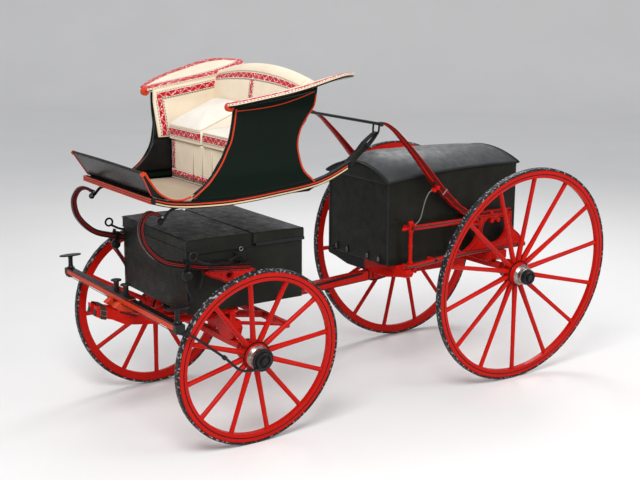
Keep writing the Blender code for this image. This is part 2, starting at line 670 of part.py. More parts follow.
def build_hind_beds():
    y = HIND_Y + 0.012
    low = HIND_BEAM[1] + FIT
    deck = 0.948 - FIT
    rail = 0.965 - FIT
    ends = [(-0.50, rail), (-0.43, rail), (-0.41, deck), (0.41, deck), (0.43, rail), (0.50, rail),
            (0.50, 0.905), (0.46, low), (-0.46, low), (-0.50, 0.905)]
    finish("hind_axle_bed", front_profile(ends, y - 0.085, y + 0.085, 0.005), RED)
    low = HIND_BEAM[0]
    ends = [(-0.49, 0.930), (-0.42, 0.930), (-0.39, deck), (0.39, deck), (0.42, 0.930), (0.49, 0.930),
            (0.52, 0.905), (0.50, 0.875), (0.42, 0.865), (0.25, low), (-0.25, low), (-0.42, 0.865),
            (-0.50, 0.875), (-0.52, 0.905)]
    finish("hind_cross_bed", front_profile(ends, from_hind(-0.900), from_hind(-0.840), 0.005), RED)


def build_hind_frames():
    outline = at([(-0.155, SADDLE_TOP), (-0.150, 1.200), (-0.165, 1.130), (-0.215, 1.060), (-0.313, 0.990),
                  (0.300, 0.990), (0.243, 1.078), (0.180, 1.130), (0.150, 1.200), (0.143, SADDLE_TOP)])
    turns = [-k * math.tau / 12 for k in range(12)]
    hole = [(from_hind(-0.010) + 0.083 * math.cos(a), 1.140 + 0.083 * math.sin(a)) for a in turns]
    bracket = side_profile(outline, WHIP_X - 0.020, WHIP_X + 0.020, 0, [hole])
    outline = at([(-0.900, 0.9303), (-0.900, 0.960), (-0.30, 0.998), (0.310, 0.998), (0.320, 0.965),
                  (-0.150, 0.965), (-0.300, 0.962), (-0.760, 0.940), (-0.790, 0.9303)])
    lower = side_profile(outline, WHIP_X - 0.018, WHIP_X + 0.018)
    upper = box(WHIP_X - 0.012, WHIP_X + 0.012, from_hind(-0.84), from_hind(-0.150), 1.222, 1.246, 0.003)
    post = rod((WHIP_X, from_hind(-0.832), 0.940), (WHIP_X, from_hind(-0.832), 1.262), 0.019)
    button = ball((WHIP_X, from_hind(-0.832), 1.268), 0.024)
    knob = ball((WHIP_X, from_hind(-0.905), 1.234), 0.027)
    neck = rod((WHIP_X, from_hind(-0.905), 1.234), (WHIP_X, from_hind(-0.830), 1.234), 0.013)
    scroll = wire(path_at([(WHIP_X, -0.160, 1.180), (WHIP_X, -0.240, 1.200), (WHIP_X, -0.350, 1.165),
                           (WHIP_X, -0.400, 1.090), (WHIP_X, -0.380, 1.020), (WHIP_X, -0.340, 0.985)]), 0.013, 2)
    studs = [rod((HIND_BOOT_HALF + FIT, from_hind(y), z), (WHIP_X, from_hind(y), z), 0.014)
             for y, z in ((-0.832, 1.234), (-0.180, 1.234), (-0.60, 0.965), (0.230, 0.985))]
    pair("hind_frame", union(bracket, lower, upper, post, button, knob, neck, scroll, *studs), RED)


def build_lever_rod():
    rod_path = path_at([(0.507, -0.520, 1.492), (0.500, -0.646, 1.508), (0.500, -0.700, 1.450),
                        (0.500, -0.776, 1.346), (0.492, -0.832, 1.262)])
    bar = wire(rod_path, 0.008, 2)
    foot = box(WHIP_X + 0.024 + FIT, 0.502, from_hind(-0.845), from_hind(-0.819), 1.238, 1.272, 0.002)
    finish("lever_rod", union(bar, foot), STEEL)


HIND_LID = ((-1.000, 1.683, 1.572), (-0.873, 1.730, 1.588), (-0.755, 1.751, 1.600),
            (-0.583, 1.750, 1.614), (-0.321, 1.749, 1.628), (0.017, 1.738, 1.632), (0.285, 1.719, 1.629))


def loft(sections):
    """Join rings of equally many points into one closed solid."""
    bm = bmesh.new()
    rings = [[bm.verts.new(p) for p in section] for section in sections]
    count = len(rings[0])
    for a, b in zip(rings, rings[1:]):
        for i in range(count):
            j = (i + 1) % count
            bm.faces.new((a[i], a[j], b[j], b[i]))
    for end in (rings[0], rings[-1]):
        bm.faces.new(end)
    return from_bmesh(bm)


def lid_section(y, ridge, eave, solid):
    across = [-0.400 + 0.100 * k for k in range(9)]
    ring_points = [(x, y, eave + (ridge - eave) * (1 - (x / 0.400) ** 2)) for x in across]
    low = eave - 0.012
    under = [(0.400, low), (0.366, low)]
    for x in (0.300, 0.150, 0.0, -0.150, -0.300):
        crown = eave + (ridge - eave) * (1 - (x / 0.400) ** 2) - 0.014
        under.append((x, low if solid else crown))
    under += [(-0.366, low), (-0.400, low)]
    return ring_points + [(x, y, z) for x, z in under]


def build_hind_boot():
    top = [(y, eave - 0.012 - FIT) for y, ridge, eave in HIND_LID]
    top[0] = (-0.978, top[0][1] + 0.0025)
    top[-1] = (0.272, top[-1][1])
    outline = at([(-0.978, 0.948)] + top + [(0.272, 0.948)])
    boot = open_box(outline, HIND_BOOT_HALF, BOARD, 0.948 + BOARD, 1.65)
    hooks = [wire(path_at([(x, -0.970, 0.985), (x, -0.998, 0.975), (x, -0.998, 0.955), (x, -0.970, 0.950)]),
                  0.006, 1) for x in (-0.30, 0.30)]
    finish("hind_boot", union(boot, *hooks), LEATHER)
    sections = []
    for y, ridge, eave in HIND_LID:
        inside = -0.95 < y < 0.25
        sections.append(lid_section(from_hind(y), ridge, eave, not inside))
        if y == HIND_LID[0][0]:
            sections.append(lid_section(from_hind(-0.955), 1.7005, 1.5777, True))
            sections.append(lid_section(from_hind(-0.954), 1.7008, 1.5778, False))
    last = sections.pop()
    sections.append(lid_section(from_hind(0.249), 1.7215, 1.6294, False))
    sections.append(lid_section(from_hind(0.250), 1.7215, 1.6294, True))
    sections.append(last)
    lid = finish("hind_boot_lid", loft(sections), LEATHER)
    set_origin(lid, (0, from_hind(0.285), 1.617))


def sliced(obj, axis, levels):
    """Add edge loops where planes across one axis cut the piece."""
    normal = [0, 0, 0]
    normal[axis] = 1
    bm = bmesh.new()
    bm.from_mesh(obj.data)
    for level in levels:
        place = [0, 0, 0]
        place[axis] = level
        geometry = bm.verts[:] + bm.edges[:] + bm.faces[:]
        bmesh.ops.bisect_plane(bm, geom=geometry, plane_co=place, plane_no=normal, dist=0.00001)
    bm.to_mesh(obj.data)
    bm.free()
    return obj


def flare(z):
    """How much wider than at the rockers the body is at a given height."""
    share = min(1.0, max(0.0, (z - FLARE_LOW) / (FLARE_HIGH - FLARE_LOW)))
    return share * (FLARE_HALF - BODY_HALF)


def flared(obj):
    """Spread a piece outward so that it follows the flare of the body sides."""
    sliced(obj, 2, (FLARE_LOW, FLARE_HIGH))
    for vertex in obj.data.vertices:
        if vertex.co.x > 0.01:
            vertex.co.x += flare(vertex.co.z)
        elif vertex.co.x < -0.01:
            vertex.co.x -= flare(vertex.co.z)
    return obj


ROCKER_LOW = ((-2.942, 1.640), (-2.870, 1.618), (-2.806, 1.602), (-2.700, 1.588), (-2.608, 1.581),
              (-2.480, 1.576), (-2.360, 1.575), (-2.180, 1.584), (-2.010, 1.599), (-1.850, 1.613),
              (-1.707, 1.633), (-1.610, 1.658), (-1.527, 1.689), (-1.410, 1.741))
INNER_WALL = BODY_HALF - PANEL_THICK - FIT


def rocker_top(y):
    """Height of a rocker's upper face at a place measured from the hind axle."""
    for (y0, z0), (y1, z1) in zip(ROCKER_LOW, ROCKER_LOW[1:]):
        if y <= y1:
            return z0 + (z1 - z0) * (y - y0) / (y1 - y0) + ROCKER_HEIGHT
    return ROCKER_LOW[-1][1] + ROCKER_HEIGHT


def build_rockers():
    outline = at(list(ROCKER_LOW) + [(y, z + ROCKER_HEIGHT) for y, z in ROCKER_LOW[::-1]])
    rocker = side_profile(outline, BODY_HALF - 0.040, BODY_HALF)
    iron = wire(path_at([(SPRING_X, -2.897, 1.522), (SPRING_X, -2.868, 1.545), (SPRING_X - 0.006, -2.835, 1.582),
                         (BODY_HALF - 0.005, -2.780, 1.597), (BODY_HALF - 0.020, -2.730, 1.600)]), 0.010, 2)
    shackle = ball((SPRING_X, from_hind(-2.898), 1.5282), 0.022)
    pair("rocker", union(rocker, iron, shackle), BLACK)


PANEL_FRONT = ((-2.395, 2.183), (-2.402, 2.085), (-2.404, 2.009), (-2.421, 1.949), (-2.447, 1.874),
               (-2.486, 1.809), (-2.537, 1.747), (-2.597, 1.700), (-2.655, 1.661))
PANEL_BACK = ((-1.777, 2.203), (-1.827, 2.126), (-1.865, 2.047), (-1.869, 1.952), (-1.832, 1.838),
              (-1.792, 1.754), (-1.711, 1.681))
WING = ((-2.455, 0.600, 0.640, 2.245, 0.14), (-2.420, 0.585, 0.690, 2.249, 0.14),
        (-2.300, 0.580, 0.780, 2.268, 0.15), (-2.150, 0.580, 0.850, 2.290, 0.16),
        (-2.000, 0.580, 0.880, 2.312, 0.19), (-1.850, 0.580, 0.885, 2.337, 0.23),
        (-1.720, 0.595, 0.855, 2.362, 0.24), (-1.620, 0.630, 0.800, 2.378, 0.22),
        (-1.550, 0.700, 0.740, 2.385, 0.20))
WING_THICK = 0.030


def wing_inner(y):
    for a, b in zip(WING, WING[1:]):
        if y <= b[0]:
            return a[3] + (b[3] - a[3]) * (y - a[0]) / (b[0] - a[0])
    return WING[-1][3]


def build_side_panels():
    tops = (-2.390, -2.300, -2.150, -2.000, -1.850, -1.770)
    outline = [(y, wing_inner(y) - WING_THICK - 0.001) for y in tops]
    outline += list(PANEL_BACK)
    lows = [y for y, z in ROCKER_LOW if -2.71 < y < -1.72]
    outline += [(-1.711, rocker_top(-1.711) + FIT)] + [(y, rocker_top(y) + FIT) for y in lows[::-1]]
    outline += list(PANEL_FRONT[::-1])
    outline = [p for i, p in enumerate(outline) if p != outline[i - 1]]
    panel = side_profile(at(outline), BODY_HALF - PANEL_THICK, BODY_HALF, 0)
    pair("side_panel", bevelled(flared(panel), 0.002, 1, 50), DARK_GREEN)
    outline = [(-2.385, 1.915), (-2.380, 2.19), (-2.150, 2.215), (-2.000, 2.235), (-1.900, 2.255), (-1.9, 1.915)]
    lining = side_profile(at(outline), INNER_WALL - 0.012, INNER_WALL, 0)
    lining = flared(lining)
    pair("side_lining", lining, CLOTH)


def build_floor():
    half = BODY_HALF - 0.040 - FIT
    outline = [(-2.905, 1.657), (-2.870, 1.640), (-2.800, 1.626), (-2.650, 1.618), (-1.740, 1.618),
               (-1.690, 1.640), (-1.685, 1.624), (-1.735, 1.600), (-2.655, 1.600), (-2.800, 1.608),
               (-2.870, 1.620), (-2.905, 1.635)]
    finish("floor_board", side_profile(at(outline), -half, half, 0.002), BLACK)


def build_dash():
    foot = 1.664
    top = 1.850
    slope = 0.106 / (top - foot)
    low = BODY_HALF - 0.007
    high = BODY_HALF + 0.044
    inner = BODY_HALF - 0.040 - FIT
    points = [(-inner, foot), (inner, foot), (inner, 1.688), (low, 1.688), (high, top),
              (0.40, top + 0.004), (0, top + 0.006), (-0.40, top + 0.004), (-high, top),
              (-low, 1.688), (-inner, 1.688)]
    board = front_profile(points, from_hind(-2.918), from_hind(-2.900), 0.004)
    for vertex in board.data.vertices:
        vertex.co.y -= (vertex.co.z - foot) * slope
    cheeks = []
    outline = at(((-2.998, 1.846), (-2.945, 1.772), (-2.897, 1.716), (-2.850, 1.6835), (-2.800, 1.6483),
                  (-2.850, 1.6600), (-2.880, 1.6675), (-2.912, 1.6785)))
    for side in (-1, 1):
        cheek = side_profile(outline, side * (BODY_HALF - 0.032), side * (BODY_HALF - 0.016))
        for vertex in cheek.data.vertices:
            vertex.co.x += side * (vertex.co.z - foot) * (high - BODY_HALF + 0.015) / (top - foot)
        cheeks.append(cheek)
    finish("dash_board", union(board, *cheeks), LEATHER)


def build_back():
    inner = 0.016
    rear = [(-1.750, 2.395), (-1.762, 2.290)] + list(PANEL_BACK[:-1]) + [(-1.716, 1.690)]
    front = [(y - inner, z) for y, z in rear[::-1]]
    half = INNER_WALL
    panel = side_profile(at(rear + front), -half, half, 0)
    panel = sliced(flared(panel), 0, (-0.44, -0.22, 0.0, 0.22, 0.44))
    arched(panel, 2.29, 2.395)
    finish("back_panel", panel, DARK_GREEN)
    rear = [(-1.747, 2.3975), (-1.770, 2.3975), (-1.783, 2.290), (-1.798, 2.203), (-1.846, 2.128),
            (-1.885, 2.055)]
    front = [(-1.903, 2.055), (-1.902, 2.120), (-1.895, 2.200), (-1.882, 2.300), (-1.872, 2.350),
             (-1.862, 2.395), (-1.845, 2.422), (-1.812, 2.438), (-1.775, 2.436), (-1.750, 2.420)]
    half = INNER_WALL - 0.0125
    lining = side_profile(at(rear + front), -half, half, 0)
    lining = sliced(flared(lining), 0, (-0.44, -0.22, 0.0, 0.22, 0.44))
    arched(lining, 2.29, 2.395)
    finish("back_lining", lining, CLOTH, 50)


def arched(obj, low, high):
    """Lower the upper edge toward the sides, so that its top runs in an arch."""
    for vertex in obj.data.vertices:
        share = min(1.0, max(0.0, (vertex.co.z - low) / (high - low)))
        vertex.co.z -= share * 0.075 * (vertex.co.x / 0.57) ** 2


def build_wings():
    sections = []
    for y, inner, outer, z, tilt in WING:
        upper = []
        lower = []
        for k in range(6):
            x = inner + (outer - inner) * k / 5
            rise = z + (x - 0.580) * tilt
            bow = 0.006 * math.sin(math.pi * k / 5)
            edge = 0.007 if k in (0, 5) else 0.0
            upper.append((x, from_hind(y), rise - edge + bow))
            lower.append((x, from_hind(y), rise - WING_THICK + edge * (k == 5)))
        sections.append(upper + lower[::-1])
    leaf = loft(sections)
    scroll = rod((0.588, from_hind(-2.432), 2.226), (0.622, from_hind(-2.432), 2.226), 0.030, 14)
    pair("wing", union(leaf, scroll), CLOTH, 50)


def build_seat():
    half = BODY_HALF - 0.040 - FIT
    outer = box(-half, half, from_hind(-2.2855), from_hind(-1.890), 1.6183, 1.900, 0.003)
    inner = box(-half + 0.016, half - 0.016, from_hind(-2.2695), from_hind(-1.906), 1.50, 1.884, 0)
    finish("seat_box", cut(outer, inner), BLACK)
    inside = INNER_WALL + flare(1.915) - 0.0125 - FIT
    cushions = (("left", 0.0015, inside, 2.015, 2.045), ("right", -inside, -0.0015, 2.010, 2.195))
    for side, x0, x1, front_top, rear_top in cushions:
        cushion = build_cushion(x0, x1, from_hind(-2.315), from_hind(-1.906), 1.9003, front_top, rear_top)
        finish("seat_cushion_" + side, cushion, CLOTH, 60)
    count = 11
    front = []
    rear = []
    for k in range(count * 4 + 1):
        x = (BODY_HALF - 0.041) * (k / (count * 2) - 1)
        y = from_hind(-2.2950) + 0.0050 * math.sin(k * math.pi / 2)
        front.append((x, y - 0.0025))
        rear.append((x, y + 0.0025))
    finish("seat_fall", plan_profile(front + rear[::-1], 1.6186, 1.898), CLOTH, 60)


def build_cushion(x0, x1, y0, y1, low, front_top, rear_top):
    """Box cushion: drawn-in edges, bulging sides and a crowned top."""
    bm = bmesh.new()
    bmesh.ops.create_cube(bm, size=2.0)
    bmesh.ops.subdivide_edges(bm, edges=bm.edges[:], cuts=5, use_grid_fill=True)
    puff = 0.008
    for vertex in bm.verts:
        u, v, w = vertex.co
        side = puff * (1 - w * w)
        x = (x0 + x1) / 2 + u * ((x1 - x0) / 2 - puff + side * (abs(u) > 0.99))
        y = (y0 + y1) / 2 + v * ((y1 - y0) / 2 - puff + side * (abs(v) > 0.99))
        top = front_top + (rear_top - front_top) * (v + 1) / 2
        crown = 0.014 * (1 - u ** 4) * (1 - v ** 4) if w > 0.99 else 0.0
        vertex.co = (x, y, low + (top - 0.012 - low) * (w + 1) / 2 + crown)
    return from_bmesh(bm)


def build_suspension():
    bar_y = from_hind(-1.1625)
    bar_z = 2.028
    bar = rod((-0.515, bar_y, bar_z), (0.515, bar_y, bar_z), 0.0115, 12)
    pieces = []
    for side in (-1, 1):
        loop = [(side * 0.427, bar_y, bar_z), (side * 0.427, bar_y - 0.004, 1.985),
                (side * 0.432, bar_y - 0.008, 1.960), (side * 0.490, bar_y - 0.008, 1.960),
                (side * 0.495, bar_y - 0.004, 1.985), (side * 0.495, bar_y, bar_z)]
        pieces.append(wire(loop, 0.007, 1))
        pieces.append(rod((side * 0.506, bar_y, bar_z), (side * 0.526, bar_y, bar_z), 0.017, 10))
    finish("cross_bar", union(bar, *pieces), IRON)
    strap = side_profile(at(((-1.4093, 1.752), (-1.4093, 1.776), (-1.192, 1.9543), (-1.160, 1.9543),
                             (-1.160, 1.942), (-1.176, 1.936))), 0.434, 0.488, 0.003)
    keepers = [clamp(0.461, 0.030, y, z, 0.70, 0.022, 0.032) for y, z in ((-1.345, 1.816), (-1.245, 1.898))]
    pair("brace", union(strap, *keepers), LEATHER)


def build_all():
    build_wheels()
    build_axles()
    build_fore_frame()
    build_splinter_bar()
    build_wheel_irons()
    build_wheel_plates()
    build_pole_strap()
    build_perch()
    build_front_boot()
    build_front_lids()
    build_springs()
    build_spring_brackets()
    build_steps()
    build_hind_beds()
    build_hind_frames()
    build_lever_rod()
    build_hind_boot()
    build_rockers()
    build_side_panels()
    build_floor()
    build_dash()
    build_back()
    build_wings()
    build_seat()
    build_suspension()


build_all()
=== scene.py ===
import math

import bmesh
import bpy
from mathutils import Matrix, Vector, noise


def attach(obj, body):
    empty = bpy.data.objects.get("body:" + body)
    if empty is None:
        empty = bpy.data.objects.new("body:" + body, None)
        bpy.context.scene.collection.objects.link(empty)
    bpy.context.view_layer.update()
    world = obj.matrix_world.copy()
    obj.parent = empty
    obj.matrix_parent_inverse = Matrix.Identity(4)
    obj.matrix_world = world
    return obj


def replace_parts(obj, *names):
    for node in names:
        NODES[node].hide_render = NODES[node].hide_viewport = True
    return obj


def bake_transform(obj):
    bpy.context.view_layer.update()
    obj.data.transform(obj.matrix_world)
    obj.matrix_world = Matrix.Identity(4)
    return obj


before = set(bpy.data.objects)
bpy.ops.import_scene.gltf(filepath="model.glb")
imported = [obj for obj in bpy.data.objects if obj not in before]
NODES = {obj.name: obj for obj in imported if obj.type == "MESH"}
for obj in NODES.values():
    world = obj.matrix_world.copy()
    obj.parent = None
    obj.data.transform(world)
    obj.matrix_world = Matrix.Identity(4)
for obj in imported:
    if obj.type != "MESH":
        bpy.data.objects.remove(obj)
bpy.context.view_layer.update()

# Lengths are metres. The front faces -Y, the left side is +X and the ground is z = 0. Places in the
# tables below are measured from the hind axle along Y, which lies at HIND_Y in the part's frame.
HIND_Y = 1.1574
FRONT_Y = -1.1806
CAMBER = math.radians(6)
SIDES = (("left", 1), ("right", -1))
ACROSS = (1, 0, 0)
ALONG = (0, 1, 0)


# shader helpers

class Shade:
    """Builds one node material around a Principled shader."""

    def __init__(self, name, roughness=0.4, metallic=0.0, **constants):
        self.mat = bpy.data.materials.new(name)
        self.mat.use_nodes = True
        self.tree = self.mat.node_tree
        self.shader = self.tree.nodes["Principled BSDF"]
        self.shader.inputs["Roughness"].default_value = roughness
        self.shader.inputs["Metallic"].default_value = metallic
        for key, value in constants.items():
            self.shader.inputs[key.replace("_", " ")].default_value = value

    def node(self, kind, **settings):
        made = self.tree.nodes.new(kind)
        for key, value in settings.items():
            setattr(made, key, value)
        return made

    def feed(self, socket, value):
        if isinstance(value, (int, float)):
            socket.default_value = value
        elif isinstance(value, (tuple, list)):
            socket.default_value = (*value, 1.0) if socket.type == "RGBA" and len(value) == 3 else value
        else:
            self.tree.links.new(value, socket)

    def math(self, operation, a, b=0.0):
        made = self.node("ShaderNodeMath", operation=operation)
        self.feed(made.inputs[0], a)
        self.feed(made.inputs[1], b)
        return made.outputs[0]

    def mix(self, factor, a, b):
        made = self.node("ShaderNodeMix", data_type="RGBA")
        self.feed(made.inputs[0], factor)
        self.feed(made.inputs[6], a)
        self.feed(made.inputs[7], b)
        return made.outputs[2]

    def coords(self, which="Object"):
        return self.node("ShaderNodeTexCoord").outputs[which]

    def noise(self, scale, detail=3.0, vector=None, rough=0.55):
        made = self.node("ShaderNodeTexNoise")
        self.feed(made.inputs["Vector"], vector or self.coords())
        made.inputs["Scale"].default_value = scale
        made.inputs["Detail"].default_value = detail
        made.inputs["Roughness"].default_value = rough
        return made.outputs["Fac"]

    def ramp(self, value, low, high, out_low=0.0, out_high=1.0):
        made = self.node("ShaderNodeMapRange")
        made.clamp = True
        for socket, item in zip(made.inputs[:5], (value, low, high, out_low, out_high)):
            self.feed(socket, item)
        return made.outputs[0]

    def colour(self, value):
        self.feed(self.shader.inputs["Base Color"], value)

    def roughness(self, value):
        self.feed(self.shader.inputs["Roughness"], value)

    def bump(self, height, distance, strength):
        made = self.node("ShaderNodeBump")
        made.inputs["Strength"].default_value = strength
        made.inputs["Distance"].default_value = distance
        self.feed(made.inputs["Height"], height)
        self.tree.links.new(made.outputs[0], self.shader.inputs["Normal"])

    def split(self, which):
        made = self.node("ShaderNodeSeparateXYZ")
        self.feed(made.inputs[0], self.coords(which))
        return made.outputs[0], made.outputs[1], made.outputs[2]

    def near(self, value, centre, half):
        """1 where value lies within half of centre."""
        away = self.math("ABSOLUTE", self.math("SUBTRACT", value, centre))
        return self.math("LESS_THAN", away, half)


def painted(name, colour, roughness=0.24, coat=0.05, dust=0.05, lines=(), spec=0.06):
    """Coach paint. Each line is (centre, half width, colour), across the UV map in metres."""
    s = Shade(name, roughness, 0.0, Coat_Weight=coat, Coat_Roughness=0.10, Specular_IOR_Level=spec)
    cloud = s.noise(2.6, 4)
    fine = s.noise(38.0, 5)
    dull = tuple(0.80 * c + 0.001 for c in colour)
    base = s.mix(s.ramp(cloud, 0.35, 0.7), colour, dull)
    if lines:
        across = s.split("UV")[1]
        for centre, half, line_colour in lines:
            base = s.mix(s.near(across, centre, half), base, line_colour)
    dirt = s.ramp(s.math("MULTIPLY", cloud, fine), 0.30, 0.48, 0.0, dust)
    s.colour(s.mix(dirt, base, (0.13, 0.10, 0.08)))
    s.roughness(s.ramp(fine, 0.3, 0.8, roughness * 0.8, roughness * 1.5))
    s.bump(s.noise(240.0, 2), 0.0003, 0.15)
    return s


def tyre_iron(name):
    """Black iron with pale chips where the paint has worn off."""
    s = Shade(name, 0.5, 0.0, Specular_IOR_Level=0.2)
    chips = s.ramp(s.noise(56.0, 3), 0.580, 0.620)
    s.colour(s.mix(chips, (0.012, 0.012, 0.013), (0.30, 0.30, 0.31)))
    s.roughness(s.ramp(s.noise(60.0, 4), 0.3, 0.8, 0.38, 0.7))
    s.bump(s.noise(90.0, 4), 0.0014, 0.6)
    return s


def leather(name, colour, roughness=0.36, grain=420.0, coat=0.05, spec=0.22):
    s = Shade(name, roughness, 0.0, Coat_Weight=coat, Coat_Roughness=0.2, Specular_IOR_Level=spec)
    cell = s.node("ShaderNodeTexVoronoi", feature="DISTANCE_TO_EDGE")
    s.feed(cell.inputs["Vector"], s.coords())
    cell.inputs["Scale"].default_value = grain
    cloud = s.noise(5.0, 5)
    light = tuple(1.7 * c + 0.002 for c in colour)
    s.colour(s.mix(s.ramp(cloud, 0.42, 0.72), colour, light))
    s.roughness(s.ramp(s.noise(18.0, 4), 0.3, 0.75, roughness * 0.75, roughness * 1.5))
    height = s.math("ADD", s.ramp(cell.outputs["Distance"], 0.0, 0.05), s.noise(9.0, 3))
    s.bump(height, 0.0007, 0.45)
    return s


RED_COLOUR = (0.50, 0.008, 0.004)
ORANGE_COLOUR = (0.60, 0.050, 0.016)
BLACK_COLOUR = (0.006, 0.006, 0.0065)
CREAM_COLOUR = (0.66, 0.50, 0.30)
MATERIALS = {
    "red": painted("vermilion_paint", RED_COLOUR).mat,
    "orange": painted("orange_red_paint", ORANGE_COLOUR).mat,
    "black": painted("black_paint", BLACK_COLOUR, 0.16, 0.04, 0.04, (), 0.12).mat,
    "green": painted("body_green_paint", (0.0035, 0.0085, 0.0050), 0.14, 0.02, 0.02, (), 0.06).mat,
    "iron": tyre_iron("tyre_iron").mat,
    "black_iron": painted("black_iron_paint", (0.009, 0.009, 0.0095), 0.30, 0.04, 0.06, (), 0.18).mat,
    "leather": leather("boot_leather", (0.0075, 0.0080, 0.0055), spec=0.10).mat,
    "patent": leather("patent_leather", (0.006, 0.0062, 0.006), 0.16, 260.0, 0.03, 0.12).mat,
    "cream_line": painted("cream_line_paint", CREAM_COLOUR, 0.3, 0.05, 0.04).mat,
    "wheel_red": painted("wheel_paint", RED_COLOUR, lines=[(0.0665, 0.0036, BLACK_COLOUR)]).mat,
}


def steel_material():
    s = Shade("worn_steel", 0.32, 1.0)
    s.colour(s.mix(s.ramp(s.noise(30.0, 5), 0.4, 0.7), (0.50, 0.48, 0.45), (0.22, 0.19, 0.16)))
    s.roughness(s.ramp(s.noise(90.0, 4), 0.3, 0.8, 0.22, 0.5))
    s.bump(s.noise(200.0, 3), 0.0003, 0.4)
    return s.mat


MATERIALS["steel"] = steel_material()


def cross_bed_paint():
    """Vermilion, with painted shade: the right half is turned black where the bed lies in shadow."""
    s = painted("cross_bed_paint", RED_COLOUR)
    # painted shade: black below x = -0.03 (the right half), blending to red by x = 0
    side = s.ramp(s.split("Object")[0], -0.03, 0.0)
    s.colour(s.mix(side, BLACK_COLOUR, RED_COLOUR))
    return s.mat


MATERIALS["cross_bed"] = cross_bed_paint()
MATERIALS["grey_iron"] = painted("grey_iron_paint", (0.16, 0.15, 0.14), 0.4, 0.0, 0.05).mat

LOOKS = {
    "red": ["perch", "spring_bracket", "hind_frame", "hind_axle_bed", "hind_axle", "fore_axle", "fore_frame"],
    "cross_bed": ["hind_cross_bed"],
    "orange": ["splinter_bar"],
    "black_iron": ["step", "upper_wheel_plate", "lower_wheel_plate", "cross_bar", "hind_axle_cap",
                   "front_axle_cap"],
    "iron": ["hind_tyre", "front_tyre"],
    "leather": ["front_boot", "hind_boot", "pole_strap"],
    "patent": ["dash_board"],
    "green": ["side_panel", "back_panel"],
    "black": ["rocker", "floor_board", "seat_box", "c_spring"],
    "steel": ["lever_rod"],
}


def look_of(node):
    best = None
    for look, names in LOOKS.items():
        for name in names:
            if node.startswith(name) and (best is None or len(name) > len(best[1])):
                best = (look, name)
    return best[0] if best else "red"


for node_name, node_object in NODES.items():
    node_object.data.materials.clear()
    node_object.data.materials.append(MATERIALS[look_of(node_name)])
    for face in node_object.data.polygons:
        face.use_smooth = True
    node_object.data.set_sharp_from_angle(angle=math.radians(33))


# mesh helpers

def made_object(name, mesh, material, smooth=40):
    obj = bpy.data.objects.new(name, mesh)
    bpy.context.scene.collection.objects.link(obj)
    mesh.materials.clear()
    mesh.materials.append(MATERIALS[material] if isinstance(material, str) else material)
    for face in mesh.polygons:
        face.use_smooth = True
    if smooth:
        mesh.set_sharp_from_angle(angle=math.radians(smooth))
    return obj


def mesh_from(bm, name):
    mesh = bpy.data.meshes.new(name)
    bm.to_mesh(mesh)
    bm.free()
    return mesh


def joined(name, objects, body=None, node=None):
    """One object from several that aren't parented yet, riding on a body in place of a node."""
    bpy.ops.object.select_all(action="DESELECT")
    for obj in objects:
        obj.select_set(True)
    bpy.context.view_layer.objects.active = objects[0]
    bpy.ops.object.join()
    objects[0].name = name
    if body:
        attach(objects[0], body)
    if node:
        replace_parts(objects[0], node)
    return objects[0]


def placed(points, side=1):
    """Points measured from the hind axle, in the part's frame, mirrored for the right side."""
    return [Vector((side * x, y + HIND_Y, z)) for x, y, z in points]


def side_view(x, line):
    """A line drawn in the side view as (y, z), at one place across."""
    return [(x, p[0] + HIND_Y, p[1]) for p in line]


def circle(count, start=0.0):
    return [start + k * math.tau / count for k in range(count)]


def distances(points, closed=False):
    """How far along a line each of its points lies, with the way back to the first if it is closed."""
    pts = [Vector(p) for p in points]
    if closed:
        pts.append(pts[0])
    run = [0.0]
    for a, b in zip(pts, pts[1:]):
        run.append(run[-1] + (b - a).length)
    return run


def between(a, b, c, d, t):
    """Catmull-Rom point between b and c."""
    return 0.5 * (2 * b + (c - a) * t + (2 * a - 5 * b + 4 * c - d) * t * t
                  + (3 * b - a - 3 * c + d) * t ** 3)


def smooth_path(points, pieces):
    pts = [Vector(p) for p in points]
    ends = [pts[0] * 2 - pts[1]] + pts + [pts[-1] * 2 - pts[-2]]
    line = [between(*ends[i:i + 4], k / pieces) for i in range(len(pts) - 1) for k in range(pieces)]
    return line + [pts[-1]]


def closed_curve(points, pieces):
    ring = [Vector(p) for p in points]
    ring = ring[-1:] + ring + ring[:2]
    return [between(*ring[i:i + 4], k / pieces) for i in range(len(points)) for k in range(pieces)]


def even(points, count):
    """Evenly spaced points along a closed line."""
    pts = [Vector(p) for p in points] + [Vector(points[0])]
    run = distances(points, True)
    out = []
    i = 0
    for k in range(count):
        want = run[-1] * k / count
        while run[i + 1] < want:
            i += 1
        out.append(pts[i].lerp(pts[i + 1], (want - run[i]) / (run[i + 1] - run[i])))
    return out


def point_on(points, share):
    """The point at a share of a line's segments."""
    spot = share * (len(points) - 1)
    i = min(int(spot), len(points) - 2)
    return Vector(points[i]).lerp(Vector(points[i + 1]), spot - i)


def clipped(value):
    return min(1.0, max(0.0, value))


def grid_faces(bm, rows, by_row, by_column, wrap_rows=False, wrap_columns=False, swap=False):
    """Quads between rows of points, with a UV map in metres."""
    uv = bm.loops.layers.uv.new("UVMap")
    verts = [[bm.verts.new(p) for p in row] for row in rows]
    height = len(rows)
    width = len(rows[0])
    for i in range(height if wrap_rows else height - 1):
        for k in range(width if wrap_columns else width - 1):
            j = (i + 1) % height
            m = (k + 1) % width
            face = bm.faces.new((verts[i][k], verts[i][m], verts[j][m], verts[j][k]))
            for loop, (a, b) in zip(face.loops, ((i, k), (i, k + 1), (i + 1, k + 1), (i + 1, k))):
                loop[uv].uv = (by_column[b], by_row[a]) if swap else (by_row[a], by_column[b])
    return verts


